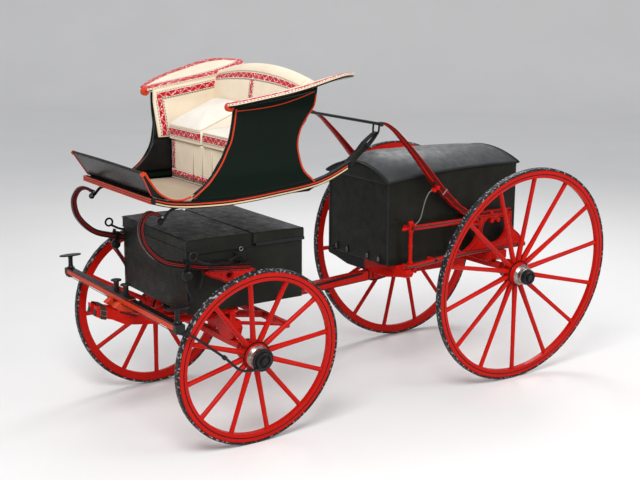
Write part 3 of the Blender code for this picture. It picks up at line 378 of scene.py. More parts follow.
def sweep(name, path, section, material, hint=ACROSS, closed=False, scale=None):
    """Carry a closed (u, v) section along a path; u lies along the hint."""
    path = [Vector(p) for p in path]
    hint = Vector(hint)
    last = len(path) - 1
    rows = []
    for i, p in enumerate(path):
        if closed:
            along = path[(i + 1) % len(path)] - path[i - 1]
        else:
            along = path[min(i + 1, last)] - path[max(i - 1, 0)]
        along.normalize()
        across = (hint - along * hint.dot(along)).normalized()
        up = across.cross(along)
        wide, high = scale[i] if scale else (1.0, 1.0)
        rows.append([p + across * (u * wide) + up * (v * high) for u, v in section])
    bm = bmesh.new()
    rings = grid_faces(bm, rows, distances(path, True), distances(section, True), closed, True)
    if not closed:
        bm.faces.new(rings[0][::-1])
        bm.faces.new(rings[-1])
    bmesh.ops.recalc_face_normals(bm, faces=bm.faces)
    return made_object(name, mesh_from(bm, name), material)


def round_section(radius, sides):
    return [(radius * math.cos(angle), radius * math.sin(angle)) for angle in circle(sides)]


def slab_section(width, height, edge):
    w = width / 2
    h = height / 2
    return [(-w + edge, -h), (w - edge, -h), (w, -h + edge), (w, h - edge), (w - edge, h), (-w + edge, h),
            (-w, h - edge), (-w, -h + edge)]


def slab(name, path, size, material, body=None, hint=ACROSS, **more):
    """A flat bar along a path; size is its width along the hint, its height and its chamfer."""
    obj = sweep(name, path, slab_section(*size), material, hint, **more)
    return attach(obj, body) if body else obj


def rod(name, path, radius, material, sides, hint=ACROSS):
    return sweep(name, path, round_section(radius, sides), material, hint)


def turned(name, path, radii, material, sides=20):
    """A round bar whose radius is given at each point of its path."""
    return sweep(name, path, round_section(1.0, sides), material, scale=[(r, r) for r in radii])


def bead(name, path, radius, material, body, sides=8, closed=False):
    """A thin round trim bead along a path, riding on a body."""
    hint = (0.31, 0.17, 0.93)
    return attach(sweep(name, path, round_section(radius, sides), material, hint, closed), body)


def lathe(name, profile, place, material, body, steps, wobble=0.0, hollow=True):
    """Turn (radius, height) points about the local Z of place."""
    widest = max(r for r, z in profile)
    rows = []
    for k, angle in enumerate(circle(steps)):
        push = wobble * math.sin(k * 7.3) * math.sin(k * 2.9 + 1.0)
        rows.append([place @ Vector(((r + push) * math.cos(angle), (r + push) * math.sin(angle), z))
                     for r, z in profile])
    bm = bmesh.new()
    turn = [widest * math.tau * k / steps for k in range(steps + 1)]
    grid_faces(bm, rows, turn, distances(profile, True), True, hollow)
    bmesh.ops.remove_doubles(bm, verts=bm.verts, dist=0.00002)
    bmesh.ops.recalc_face_normals(bm, faces=bm.faces)
    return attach(made_object(name, mesh_from(bm, name), material, 30), body)


def surface(name, rows, material, body, toward, thick):
    """A sheet through rows of points that faces toward; its thickness goes behind."""
    bm = bmesh.new()
    middle = [row[len(row) // 2] for row in rows]
    grid_faces(bm, rows, distances(middle), distances(rows[len(rows) // 2]), swap=True)
    bm.normal_update()
    facing = sum((f.normal * f.calc_area() for f in bm.faces), Vector())
    if facing.dot(Vector(toward)) < 0:
        bmesh.ops.reverse_faces(bm, faces=bm.faces)
    obj = made_object(name, mesh_from(bm, name), material, 0)
    solid = obj.modifiers.new("thickness", "SOLIDIFY")
    solid.thickness = thick
    solid.offset = -1.0
    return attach(obj, body)


def rings_mesh(name, rings, heights):
    """A skin over closed rings; heights are the V coordinates of the rings."""
    bm = bmesh.new()
    grid_faces(bm, rings, heights, distances(rings[len(rings) // 3], True), False, True, True)
    bmesh.ops.remove_doubles(bm, verts=bm.verts, dist=0.00005)
    bmesh.ops.dissolve_degenerate(bm, dist=0.00005, edges=bm.edges)
    bmesh.ops.recalc_face_normals(bm, faces=bm.faces)
    return mesh_from(bm, name)


def plate(name, outline, holes, x0, x1, material, body):
    """A flat plate cut to a side outline, with rounded edges."""
    bevel = 0.003
    curve = bpy.data.curves.new(name, "CURVE")
    curve.dimensions = "2D"
    curve.fill_mode = "BOTH"
    curve.extrude = abs(x1 - x0) / 2 - bevel
    curve.bevel_depth = bevel
    curve.bevel_resolution = 1
    for loop in [outline] + list(holes):
        spline = curve.splines.new("POLY")
        spline.points.add(len(loop) - 1)
        spline.use_cyclic_u = True
        for point, (y, z) in zip(spline.points, loop):
            point.co = (y + HIND_Y, z, 0, 1)
    maker = bpy.data.objects.new(name + "_outline", curve)
    bpy.context.scene.collection.objects.link(maker)
    bpy.context.view_layer.update()
    mesh = bpy.data.meshes.new_from_object(maker.evaluated_get(bpy.context.evaluated_depsgraph_get()))
    bpy.data.objects.remove(maker)
    mesh.transform(Matrix(((0, 0, 1, (x0 + x1) / 2), (1, 0, 0, 0), (0, 1, 0, 0), (0, 0, 0, 1))))
    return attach(made_object(name, mesh, material), body)


def inset(loop, amount):
    """A closed 2D outline moved inward."""
    count = len(loop)
    area = sum(loop[i - 1][0] * loop[i][1] - loop[i][0] * loop[i - 1][1] for i in range(count))
    out = []
    for i in range(count):
        along = (loop[(i + 1) % count] - loop[i - 1]).normalized()
        out.append(loop[i] + Vector((-along[1], along[0])) * math.copysign(amount, amount * area))
    return out


def side_line(name, x, line, width, material, body, closed=False):
    """A thin painted line on a face square to X; width is measured in the side view."""
    return slab(name, side_view(x, line), (0.0020, width, 0.0004), material, body, closed=closed)


def round_pin(x0, x1, y, z, radius, material, sides=16):
    path = placed([(x0, y, z), (x0 + (x1 - x0) * 0.1, y, z), (x1, y, z)])
    return rod("pin", path, radius, material, sides, ALONG)


# stage, light and camera

def build_stage():
    """A pale floor that curves up into a wall behind the object, seen from the camera."""
    shade = Shade("pale_floor", 0.9)
    shade.colour(shade.mix(shade.noise(0.8, 3), (0.80, 0.79, 0.77), (0.86, 0.85, 0.83)))
    centre = Vector((-0.6, 0.9, 0))
    view = Vector((-0.78, 0.62, 0)).normalized()
    side = Vector((view.y, -view.x, 0))
    near = -24.0
    bend = 17.0
    radius = 4.0
    half_width = 32.0
    wall_top = 14.0
    profile = [(near, 0.0), (bend, 0.0)]
    for k in range(1, 11):
        angle = math.pi / 2 * k / 10
        profile.append((bend + radius * math.sin(angle), radius - radius * math.cos(angle)))
    profile.append((bend + radius, wall_top))
    bm = bmesh.new()
    rows = []
    for reach, height in profile:
        spot = centre + view * reach + Vector((0, 0, height - 0.0005))
        rows.append([bm.verts.new(spot + side * s) for s in (-half_width, half_width)])
    for a, b in zip(rows, rows[1:]):
        bm.faces.new((a[0], a[1], b[1], b[0]))
    made_object("backdrop", mesh_from(bm, "backdrop"), shade.mat, 0)


def area_light(name, place, target, size, power):
    data = bpy.data.lights.new(name, "AREA")
    data.shape = "DISK"
    data.size = size
    data.energy = power
    obj = bpy.data.objects.new(name, data)
    bpy.context.scene.collection.objects.link(obj)
    obj.location = place
    obj.rotation_mode = "QUATERNION"
    obj.rotation_quaternion = (Vector(target) - Vector(place)).to_track_quat("-Z", "Y")


def build_light():
    world = bpy.data.worlds.new("studio")
    bpy.context.scene.world = world
    world.use_nodes = True
    back = world.node_tree.nodes["Background"]
    back.inputs["Color"].default_value = (0.93, 0.95, 1.0, 1.0)
    back.inputs["Strength"].default_value = 0.62
    area_light("key", (4.5, -4.5, 7.0), (0, 0, 1.0), 4.0, 520)
    area_light("fill", (6.5, 3.5, 4.0), (0, 0, 1.0), 4.0, 160)
    area_light("rim", (-4.0, 4.0, 6.0), (0, 0, 1.5), 3.0, 180)


def build_camera():
    """The photograph's camera, solved from the wheels; angles are radians."""
    yaw = 2.5449
    pitch = -0.2205
    roll = 0.0047
    ahead = Vector((math.cos(pitch) * math.cos(yaw), math.cos(pitch) * math.sin(yaw), math.sin(pitch)))
    right = ahead.cross(Vector((0, 0, 1))).normalized()
    up = right.cross(ahead)
    right, up = (right * math.cos(roll) + up * math.sin(roll), up * math.cos(roll) - right * math.sin(roll))
    data = bpy.data.cameras.new("camera")
    data.sensor_width = 36.0
    data.lens = 65.93
    data.clip_end = 200.0
    obj = bpy.data.objects.new("camera", data)
    bpy.context.scene.collection.objects.link(obj)
    turn = Matrix((right, up, -ahead)).transposed().to_4x4()
    obj.matrix_world = Matrix.Translation((7.0423, -6.1088 + HIND_Y, 3.0288)) @ turn
    bpy.context.scene.camera = obj


build_camera()
build_stage()
build_light()
bpy.context.scene.view_settings.view_transform = "Standard"


# wheels

TYRE_HALF = 0.0225
TYRE_THICK = 0.014
FELLOE_HALF = 0.021
FELLOE_DEEP = 0.060
HUB_X = 0.7915
HIND_HUB = (HUB_X, HIND_Y, 0.83363)
FRONT_HUB = (HUB_X, FRONT_Y, 0.6063)
# The tyres of the solids have flat sides, so a round tyre keeps inside them.
HIND_RADIUS = 0.8382 * math.cos(math.pi / 42)
FRONT_RADIUS = 0.6096 * math.cos(math.pi / 36)
# Share of a spoke's length, half width and half thickness there.
SPOKE_FORM = ((0.0, 0.0180, 0.0215), (0.10, 0.0200, 0.0225), (0.22, 0.0186, 0.0200), (0.40, 0.0172, 0.0178),
              (0.80, 0.0160, 0.0165), (0.93, 0.0168, 0.0170), (1.0, 0.0178, 0.0176))
CAP_FORM = ((0.030, 0.0355), (0.0560, 0.0355), (0.0585, 0.0385), (0.0585, 0.0620), (0.0560, 0.0680),
            (0.0500, 0.0720), (0.0440, 0.0700), (0.0380, 0.0610), (0.0330, 0.0590), (0.0280, 0.0600),
            (0.0250, 0.0660), (0.0230, 0.0740), (0.0170, 0.0780), (0.0, 0.0785))


def wheel_place(side, hub_x, hub_y, hub_z):
    """The frame of a cambered wheel, with Z out along its axle arm."""
    lean = math.sin(CAMBER)
    up = math.cos(CAMBER)
    turn = Matrix(((-side * lean, 0, side * up), (0, 1, 0), (-up, 0, -lean))).to_4x4()
    return Matrix.Translation((side * hub_x, hub_y, hub_z)) @ turn


def build_spokes(tag, body, rim, spokes, turn, dish, place):
    bars = []
    for angle in circle(spokes, turn):
        along = Vector((math.cos(angle), math.sin(angle), 0))
        start = along * 0.078 + Vector((0, 0, -dish))
        end = along * (rim - 0.052) + Vector((0, 0, -0.004))
        path = [place @ start.lerp(end, t) for t, a, b in SPOKE_FORM]
        tangent = (place @ Vector((-along.y, along.x, 0))) - place.translation
        bars.append(sweep("spoke", path, round_section(1.0, 12), "red", tangent,
                          scale=[(a, b) for t, a, b in SPOKE_FORM]))
    joined("spokes_" + tag, bars, body)


def build_wheel(axle, side_name, side, radius, spokes, turn, dish, hub):
    body = "wheel_" + axle + "_" + side_name
    tag = axle + "_" + side_name
    place = wheel_place(side, *hub)
    w = TYRE_HALF
    rim = radius - TYRE_THICK
    tyre = lathe("tyre_" + tag, [(radius - 0.003, -w), (radius, -w + 0.004), (radius, w - 0.004),
                                 (radius - 0.003, w), (rim, w), (rim, -w)], place, "iron", body, 144, 0.0006)
    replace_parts(tyre, axle + "_tyre_" + side_name)
    w = FELLOE_HALF
    inner = rim - FELLOE_DEEP
    c = 0.005
    lathe("felloes_" + tag, [(rim, -w + c), (rim, w - c), (rim - c, w), (inner + c, w), (inner, w - c),
                             (inner, -w + c), (inner + c, -w), (rim - c, -w)], place, "wheel_red", body, 144)
    build_spokes(tag, body, rim, spokes, turn, dish, place)
    front = [(0.0700, 0.000), (0.0745, -0.010), (0.0835, -0.022 - (dish - 0.058)), (0.0925, 0.022 - dish),
             (0.0985, 0.030 - dish)]
    middle = [(0.0985, 0.024 - dish), (0.0945, 0.018 - dish), (0.0940, -0.030 - dish),
              (0.0900, -0.044 - dish), (0.0830, -0.056 - dish), (0.0745, -0.085 - dish),
              (0.0700, -0.108 - dish)]
    back = -0.108 - dish
    outside = smooth_path(front, 4) + smooth_path(middle, 4)
    nave = [(0.030, 0.000)] + [tuple(p) for p in outside] + [(0.030, back)]
    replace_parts(lathe("nave_" + tag, nave, place, "red", body, 64), axle + "_wheel_" + side_name)
    for spot, r, half in ((0.027 - dish, 0.0995, 0.0045), (-0.034 - dish, 0.0945, 0.0022),
                          (-0.085 - dish, 0.0760, 0.0030)):
        line = [(r - 0.004, spot - half), (r, spot - half + 0.001), (r, spot + half - 0.001),
                (r - 0.004, spot + half)]
        lathe("nave_line_" + tag, line, place, "black", body, 64)
    lathe("nave_band_" + tag, [(0.0300, 0.0350), (0.0630, 0.0350), (0.0655, 0.0335), (0.0690, 0.0060),
                               (0.0740, 0.0000), (0.0795, -0.0110), (0.0820, -0.0165), (0.0795, -0.0190),
                               (0.0300, -0.0190)], place, "steel", body, 64)
    band = [(0.0300, back - 0.007), (0.0700, back - 0.007), (0.0720, back - 0.004), (0.0720, back + 0.006),
            (0.0300, back + 0.006)]
    lathe("nave_back_band_" + tag, band, place, "black_iron", body, 64)
    cap = lathe("axle_cap_" + tag, CAP_FORM, place, "black_iron", body, 48, 0.0, False)
    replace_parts(cap, axle + "_axle_cap_" + side_name)
    studs = []
    for angle in circle(6):
        foot = Vector((0.0490 * math.cos(angle), 0.0490 * math.sin(angle), 0.0690))
        ends = [place @ foot, place @ (foot + Vector((0, 0, 0.0042)))]
        studs.append(rod("stud", ends, 0.0032, "black_iron", 6, ALONG))
    joined("cap_studs_" + tag, studs, body)


for wheel_side, wheel_sign in SIDES:
    left = wheel_sign > 0
    first_angle = 0.0 if left else math.pi / 14
    build_wheel("hind", wheel_side, wheel_sign, HIND_RADIUS, 14, first_angle, 0.080, HIND_HUB)
    first_angle = math.radians(10) if left else 0.0
    build_wheel("front", wheel_side, wheel_sign, FRONT_RADIUS, 12, first_angle, 0.058, FRONT_HUB)


# cloth

CREAM = (0.82, 0.70, 0.53)


def cloth_shade(name, colour=CREAM):
    s = Shade(name, 0.86, 0.0, Sheen_Weight=0.15, Specular_IOR_Level=0.25)
    cloud = s.noise(7.0, 4)
    s.base = s.mix(s.ramp(cloud, 0.35, 0.75), colour, tuple(0.90 * c for c in colour))
    weave = s.node("ShaderNodeTexWave", wave_type="BANDS", bands_direction="DIAGONAL")
    s.feed(weave.inputs["Vector"], s.coords())
    weave.inputs["Scale"].default_value = 260.0
    height = s.math("ADD", s.math("MULTIPLY", weave.outputs["Fac"], 0.25), s.noise(14.0, 3))
    s.bump(height, 0.003, 0.35)
    return s


def lace_cloth(name, low, high):
    """Cream cloth with a crimson and white woven band between two places across its UV map."""
    s = cloth_shade(name)
    along, across, unused = s.split("UV")
    middle = (low + high) / 2
    half = (high - low) / 2
    cell = s.node("ShaderNodeTexVoronoi", feature="F1")
    s.feed(cell.inputs["Vector"], s.coords("UV"))
    cell.inputs["Scale"].default_value = 42.0
    cell.inputs["Randomness"].default_value = 0.75
    petals = s.math("LESS_THAN", cell.outputs["Distance"], 0.29)
    wave = s.math("MULTIPLY", s.math("SINE", s.math("MULTIPLY", along, 88.0)), half * 0.45)
    vine = s.near(s.math("SUBTRACT", across, middle), wave, 0.0020)
    dark = s.math("GREATER_THAN", s.noise(62.0, 1, s.coords("UV")), 0.50)
    ground = s.mix(dark, (0.58, 0.004, 0.012), (0.34, 0.000, 0.003))
    woven = s.mix(s.math("MAXIMUM", petals, vine), ground, (0.90, 0.56, 0.52))
    margin = s.math("SUBTRACT", 1.0, s.near(across, middle, half - 0.0115))
    woven = s.mix(margin, woven, (0.82, 0.74, 0.66))
    dash = s.math("LESS_THAN", s.math("FRACT", s.math("DIVIDE", along, 0.022)), 0.30)
    edge = s.math("SUBTRACT", 1.0, s.near(across, middle, half - 0.0078))
    woven = s.mix(edge, woven, s.mix(dash, (0.62, 0.52, 0.42), (0.010, 0.008, 0.012)))
    s.base = s.mix(s.near(across, middle, half), s.base, woven)
    return s


def add_cloth(key, shade):
    shade.colour(shade.base)
    MATERIALS[key] = shade.mat


add_cloth("cream", cloth_shade("cream_cloth"))
add_cloth("piping", cloth_shade("cream_piping", (0.76, 0.60, 0.40)))
add_cloth("mat", cloth_shade("floor_mat", (0.47, 0.36, 0.24)))
add_cloth("lace", lace_cloth("lace_band", 0.0, 0.062))
add_cloth("wing_cloth", lace_cloth("wing_cloth", -0.0085, 0.074))
add_cloth("cushion_top", cloth_shade("cushion_cloth", (0.83, 0.77, 0.67)))
add_cloth("cushion_front", lace_cloth("cushion_front_cloth", 0.018, 0.088))


PLEATS = (-0.135, 0.0, 0.135)


def pleat_shadow(shade):
    """Darken the cloth inside each pleat, which opens toward the hem."""
    across, unused, height = shade.split("Object")
    reach = shade.ramp(height, 1.62, 1.90, 0.0105, 0.0035)
    for spot in PLEATS:
        away = shade.math("ABSOLUTE", shade.math("SUBTRACT", across, spot))
        depth = shade.math("SUBTRACT", 1.0, shade.ramp(shade.math("DIVIDE", away, reach), 0.35, 1.0))
        shade.base = shade.mix(depth, shade.base, (0.055, 0.028, 0.014))
    return shade


add_cloth("pleated", pleat_shadow(cloth_shade("pleated_cloth")))
add_cloth("pleated_lace", pleat_shadow(lace_cloth("pleated_lace", 0.0, 0.062)))


# wings

# Place along Y, inner and outer edge across, height at WING_INNER, and the rise outward per metre.
WING = ((-2.455, 0.600, 0.640, 2.245, 0.14), (-2.420, 0.585, 0.690, 2.249, 0.14),
        (-2.300, 0.580, 0.780, 2.268, 0.15), (-2.150, 0.580, 0.850, 2.290, 0.16),
        (-2.000, 0.580, 0.880, 2.312, 0.19), (-1.850, 0.580, 0.885, 2.337, 0.23),
        (-1.720, 0.595, 0.855, 2.362, 0.24), (-1.620, 0.630, 0.800, 2.378, 0.22),
        (-1.550, 0.700, 0.740, 2.385, 0.20))
WING_INNER = 0.580
WING_LINE = smooth_path(WING, 5)


def wing_station(y):
    for a, b in zip(WING_LINE, WING_LINE[1:]):
        if y <= b[0]:
            return a.lerp(b, max(0.0, (y - a[0]) / (b[0] - a[0])))
    return WING_LINE[-1]


def build_wing(side_name, side):
    count = 132
    reach_least = 0.083
    whole = 2.0
    outer = [(s[2], s[0]) for s in WING_LINE]
    inner = [(s[1], s[0]) for s in WING_LINE]
    outline = even(outer + inner[::-1], count)
    outline = [(outline[k - 1] + outline[k] * 2 + outline[(k + 1) % count]) / 4 for k in range(count)]

    def ring(inset, drop, crown=0.0):
        """The outline moved toward the wing's middle line; a whole inset closes it."""
        points = []
        for p in outline:
            y = min(-1.665, max(-2.375, p.y))
            station = wing_station(y)
            heart = Vector(((station[1] + station[2]) / 2, y))
            reach = max((heart - p).length, reach_least)
            q = p.lerp(heart, 1.0 if inset == whole else min(1.0, inset / reach))
            station = wing_station(q.y)
            height = station[3] + (q.x - WING_INNER) * station[4]
            points.append(Vector((side * q.x, q.y + HIND_Y, height - drop + crown)))
        return points

    rings = [ring(0.004, 0.0135), ring(0.0008, 0.0120), ring(0.0, 0.0070)]
    heights = [-0.012, -0.009, -0.006]
    seams = (0.0625, 0.0650)
    for depth in (0.0015, 0.004, 0.009, 0.018, 0.030, 0.045, *seams, 0.068, 0.074, 0.082):
        soft = max(0.0, 1 - depth / 0.010) ** 2
        quilt = 0.0016 if depth in seams else 0.0
        rings.append(ring(depth, 0.0060 * soft + quilt, 0.004 * min(1.0, depth / 0.03)))
        heights.append(depth)
    rings.append(ring(whole, 0.0, 0.0065))
    heights.append(0.2)
    top = made_object("wing_cloth_" + side_name, rings_mesh("wing_cloth", rings, heights), "wing_cloth", 60)
    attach(top, "seat_body")
    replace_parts(top, "wing_" + side_name)
    under = [ring(0.0045, 0.0130), ring(0.0060, 0.0200), ring(0.012, 0.0270), ring(0.030, 0.0300),
             ring(whole, 0.0300)]
    board = rings_mesh("wing_board", under, [0, 0.01, 0.02, 0.04, 0.2])
    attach(made_object("wing_board_" + side_name, board, "black", 60), "seat_body")
    bead("wing_welt_" + side_name, ring(0.0015, 0.0140), 0.0034, "piping", "seat_body", closed=True)
    scroll = [(0.006, -0.019), (0.024, -0.019), (0.0285, -0.014), (0.0285, 0.014), (0.024, 0.019),
              (0.015, 0.0215), (0.006, 0.022)]
    place = Matrix.Translation((side * 0.606, HIND_Y - 2.432, 2.2270)) @ Matrix.Rotation(math.pi / 2, 4, "Y")
    lathe("wing_scroll_" + side_name, scroll, place, "orange", "seat_body", 32)


for wing_side, wing_sign in SIDES:
    build_wing(wing_side, wing_sign)


# upholstery inside the seat

SEAT_TOP = 1.9003
LACE_WIDE = 0.062
FALL_LOW = 1.6195
FALL_DROP = 0.278
LINING_LOW = 1.912
LINING_FRONT = -2.386


def flare(z):
    """How far a body side leans out at a height."""
    return clipped((z - 1.85) / 0.30) * 0.095


def build_cushion(side_name, x0, x1, front_top, rear_top, dome):
    y0 = HIND_Y - 2.318
    y1 = HIND_Y - 1.906
    low = SEAT_TOP
    radius = 0.032
    line = []
    for k, (cx, cy) in enumerate(((x0, y0), (x1, y0), (x1, y1), (x0, y1))):
        mx = cx + (radius if cx == x0 else -radius)
        my = cy + (radius if cy == y0 else -radius)
        for j in range(7):
            angle = math.radians(180 + 90 * k + 15 * j)
            line.append((mx + radius * math.cos(angle), my + radius * math.sin(angle)))
    outline = even(line, 140)
    centre = Vector(((x0 + x1) / 2, (y0 + y1) / 2))
    depth = min(x1 - x0, y1 - y0) / 2

    def top_at(y):
        return front_top + (rear_top - front_top) * (y - y0) / (y1 - y0) - dome

    def ring(inset, share, rise):
        """share is 0 at the bottom seam and 1 at the upper one."""
        points = []
        for p in outline:
            q = p.lerp(centre, inset / depth) if inset < depth else centre.copy()
            z = low + 0.004 + (top_at(q.y) - low - 0.004) * share + rise
            crease = noise.noise(Vector((p.x * 16, p.y * 16, share * 3 + 5))) * 0.0016
            q += (q - centre) * (crease / depth * (share < 1))
            points.append(Vector((q.x, q.y, z)))
        return points

    skin = [ring(depth * 2, 0.0, -0.003), ring(0.03, 0.0, -0.003), ring(0.009, 0.0, -0.002),
            ring(0.006, 0.0, 0.003)]
    heights = [-0.2, -0.03, -0.01, 0.0]
    tall = top_at(y0) - low
    for share, bulge in ((0.12, 0.004), (0.3, 0.0015), (0.5, 0.0005), (0.7, 0.0012), (0.9, 0.004)):
        skin.append(ring(bulge, share, 0.0))
        heights.append(tall * share)
    skin.append(ring(0.0065, 1.0, -0.001))
    heights.append(tall)
    for step in (0.010, 0.018, 0.030, 0.048, 0.070, 0.095, 0.125, 0.155, 0.185):
        share = 1 - (1 - step / depth) ** 2.6
        ring_points = ring(step, 1.0, dome * share)
        for p in ring_points:
            p.z += 0.0030 * noise.noise(Vector((p.x * 11, p.y * 7, 2.0))) * share
            p.z += 0.0016 * noise.noise(Vector((p.x * 34, p.y * 16, 9.0))) * share
        skin.append(ring_points)
        heights.append(tall + step)
    skin.append(ring(depth * 2, 1.0, dome))
    heights.append(0.5)
    mesh = rings_mesh("seat_cushion_cloth", skin, heights)
    obj = made_object("seat_cushion_cloth_" + side_name, mesh, "cushion_top", 0)
    mesh.materials.append(MATERIALS["cushion_front"])
    for face in mesh.polygons:
        if face.normal.y < -0.72 and low + 0.002 < face.center.z < top_at(y0) + 0.002:
            face.material_index = 1
    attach(obj, "seat_body")
    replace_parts(obj, "seat_cushion_" + side_name)
    for level, points in (("low_", ring(0.0055, 0.0, 0.001)), ("high_", ring(0.0060, 1.0, 0.000))):
        bead("cushion_welt_" + level + side_name, points, 0.0036, "piping", "seat_body", closed=True)


def fall_y(x):
    """Face of the seat fall: it dips in at each pleat, between two small lips."""
    fold = sum(math.exp(-((x - spot) / 0.0042) ** 2) for spot in PLEATS)
    lip = sum(math.exp(-((x - spot) / 0.016) ** 2) for spot in PLEATS)
    return HIND_Y - 2.2995 + 0.0128 * fold - 0.0040 * lip + 0.0010 * math.sin(x * 37.0)


def build_fall():
    columns = [-0.464 + 0.928 * k / 232 for k in range(233)]
    columns += [spot + 0.001 * k for spot in PLEATS for k in range(-12, 13)]
    columns = sorted(set(round(x, 5) for x in columns))
    rows = []
    for j in range(15):
        share = j / 14
        z = FALL_LOW + FALL_DROP * share
        belly = 0.0010 * math.sin(math.pi * share)
        rows.append([(x, fall_y(x) - belly + 0.0008 * noise.noise(Vector((x * 9, z * 6, 0))), z)
                     for x in columns])
    fall = surface("seat_fall_cloth", rows, "pleated", "seat_body", (0, -1, 0), 0.0016)
    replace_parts(fall, "seat_fall")
    low = FALL_LOW + 0.0105
    lace = [[(x, fall_y(x) - 0.0018, z) for x in columns] for z in (low, low + LACE_WIDE)]
    trims = [surface("fall_lace_low", lace, "pleated_lace", "seat_body", (0, -1, 0), 0.0012)]
    for side in (-1, 1):
        rows = []
        for k in range(5):
            x = side * (0.460 - LACE_WIDE * k / 4)
            rows.append([(x, fall_y(x) - 0.0022, 1.690 + 0.206 * j / 12) for j in range(13)])
        trims.append(surface("fall_lace_side", rows, "lace", "seat_body", (0, -1, 0), 0.0012))
    hem = [(x, fall_y(x) - 0.0010, FALL_LOW + 0.0020) for x in columns[::2]]
    trims.append(bead("fall_hem", hem, 0.0022, "piping", "seat_body", sides=6))


def side_x(z, lift=0.0):
    return 0.4702 + flare(z) - lift


def lining_top(y):
    """Upper edge of a side lining."""
    return wing_station(y)[3] - 0.012


def build_side_lining(side_name, side):
    toward = (-side, 0, 0)

    def point(y, share, lift=0.0):
        z = LINING_LOW + (lining_top(y) - LINING_LOW) * share
        puff = 0.006 * math.sin(math.pi * clipped(share)) ** 0.6
        rear = clipped((y - LINING_FRONT) / 0.03)
        return (side * side_x(z, lift + puff * rear), y + HIND_Y, z)

    def at_height(y, z, lift):
        return point(y, (z - LINING_LOW) / (lining_top(y) - LINING_LOW), lift)

    ys = [LINING_FRONT + 0.512 * k / 40 for k in range(41)]
    rows = [[point(y, j / 16) for y in ys] for j in range(17)]
    cloth = surface("side_lining_cloth_" + side_name, rows, "cream", "seat_body", toward, 0.010)
    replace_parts(cloth, "side_lining_" + side_name)
    rows = [[at_height(y, lining_top(y) - 0.084 + LACE_WIDE * j / 4, 0.0022) for y in ys if y > -2.366]
            for j in range(5)]
    surface("side_lace_top_" + side_name, rows, "lace", "seat_body", toward, 0.0015)
    zs = [1.918 + (lining_top(-2.34) - 0.084 - 1.918) * k / 12 for k in range(13)]
    rows = [[at_height(-2.366 + LACE_WIDE * j / 4, z, 0.0020) for z in zs] for j in range(5)]
    surface("side_lace_front_" + side_name, rows, "lace", "seat_body", toward, 0.0015)
    rise = lining_top(LINING_FRONT) - 0.004 - LINING_LOW
    edge = [at_height(LINING_FRONT, LINING_LOW + rise * k / 8, -0.001) for k in range(9)]
    edge += [point(y, 1.0, -0.001) for y in ys[1::3]]
    bead("side_lining_welt_" + side_name, edge, 0.0042, "piping", "seat_body")
    hem = [point(y, 0.0, 0.002) for y in ys[::4]]
    bead("side_lining_hem_" + side_name, hem, 0.0038, "piping", "seat_body")
    leather_edge = [(-2.640, 1.668), (-2.560, 1.722), (-2.500, 1.782), (-2.455, 1.850), (-2.425, 1.908)]
    rows = []
    for j in range(9):
        y, z = point_on(leather_edge, j / 8)
        row = []
        for k in range(13):
            dent = 0.0035 * math.sin(math.pi * k / 12) ** 0.5 * math.sin(math.pi * j / 8) ** 0.5
            row.append((side * (0.4780 - dent + flare(z)), y + (-2.288 - y) * k / 12 + HIND_Y, z))
        rows.append(row)
    surface("inner_leather_" + side_name, rows, "patent", "seat_body", toward, 0.003)


BACK_FRONT = ((-1.903, 2.040), (-1.902, 2.120), (-1.895, 2.200), (-1.882, 2.300), (-1.872, 2.350),
              (-1.862, 2.395), (-1.845, 2.422), (-1.812, 2.438), (-1.775, 2.436), (-1.750, 2.420),
              (-1.745, 2.400))
BACK_LINE = smooth_path(BACK_FRONT, 4)
ROLL_CENTRE = Vector((-1.800, 2.385))


def back_point(x, p, lift=0.0):
    """A point of the back lining; its top drops toward both sides."""
    reach = x / 0.57
    z = p[1] - clipped((p[1] - 2.20) / 0.235) * 0.075 * reach ** 2
    tuft = 0.004 * max(0.0, math.cos(math.pi * reach / 2)) ** 0.5
    return (x, p[0] - lift - tuft * (p[1] < 2.38) + HIND_Y, z)


def build_back_lining():
    def edge_x(z):
        return side_x(z) - 0.0005

    rows = []
    for p in BACK_LINE:
        roll = clipped((p[1] - 2.36) / 0.03)
        row = []
        for k in range(-3, 52):
            inner = min(max(k, 0), 48)
            beyond = abs(k - inner)
            x = edge_x(p[1]) * (inner / 24 - 1)
            x += math.copysign(0.0005 * beyond + roll * (0.0, 0.010, 0.017, 0.020)[beyond], x)
            row.append(back_point(x, p.lerp(ROLL_CENTRE, roll * (0.0, 0.05, 0.35, 0.85)[beyond])))
        rows.append(row)
    cloth = surface("back_lining_cloth", rows, "cream", "seat_body", (0, -1, 0.3), 0.007)
    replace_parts(cloth, "back_lining")
    rows = []
    for j in range(6):
        z = 2.3280 + LACE_WIDE * j / 5
        p = min(BACK_LINE[:26], key=lambda q: abs(q[1] - z))
        rows.append([back_point(edge_x(2.34) * (k / 36 - 1), (p[0], z), 0.0030) for k in range(73)])
    surface("back_lace", rows, "lace", "seat_body", (0, -1, 0), 0.0015)
    seam = [back_point(edge_x(2.40) * (k / 24 - 1), (-1.866, 2.3915), 0.0020) for k in range(49)]
    bead("back_roll_seam", seam, 0.0030, "piping", "seat_body")
    middle = [point_on(BACK_FRONT[:5], k / 12) for k in range(13)]
    rows = [[back_point(-0.061 + LACE_WIDE * j / 3, (p[0], min(2.330, p[1])), 0.0026) for p in middle]
            for j in range(4)]
    surface("back_strip", rows, "lace", "seat_body", (0, -1, 0), 0.0015)
    for side in (-1, 1):
        line = [back_point(side * (edge_x(p[1]) - 0.003), p, 0.002) for p in BACK_LINE[:28]]
        bead("back_corner_seam", line, 0.0035, "piping", "seat_body")


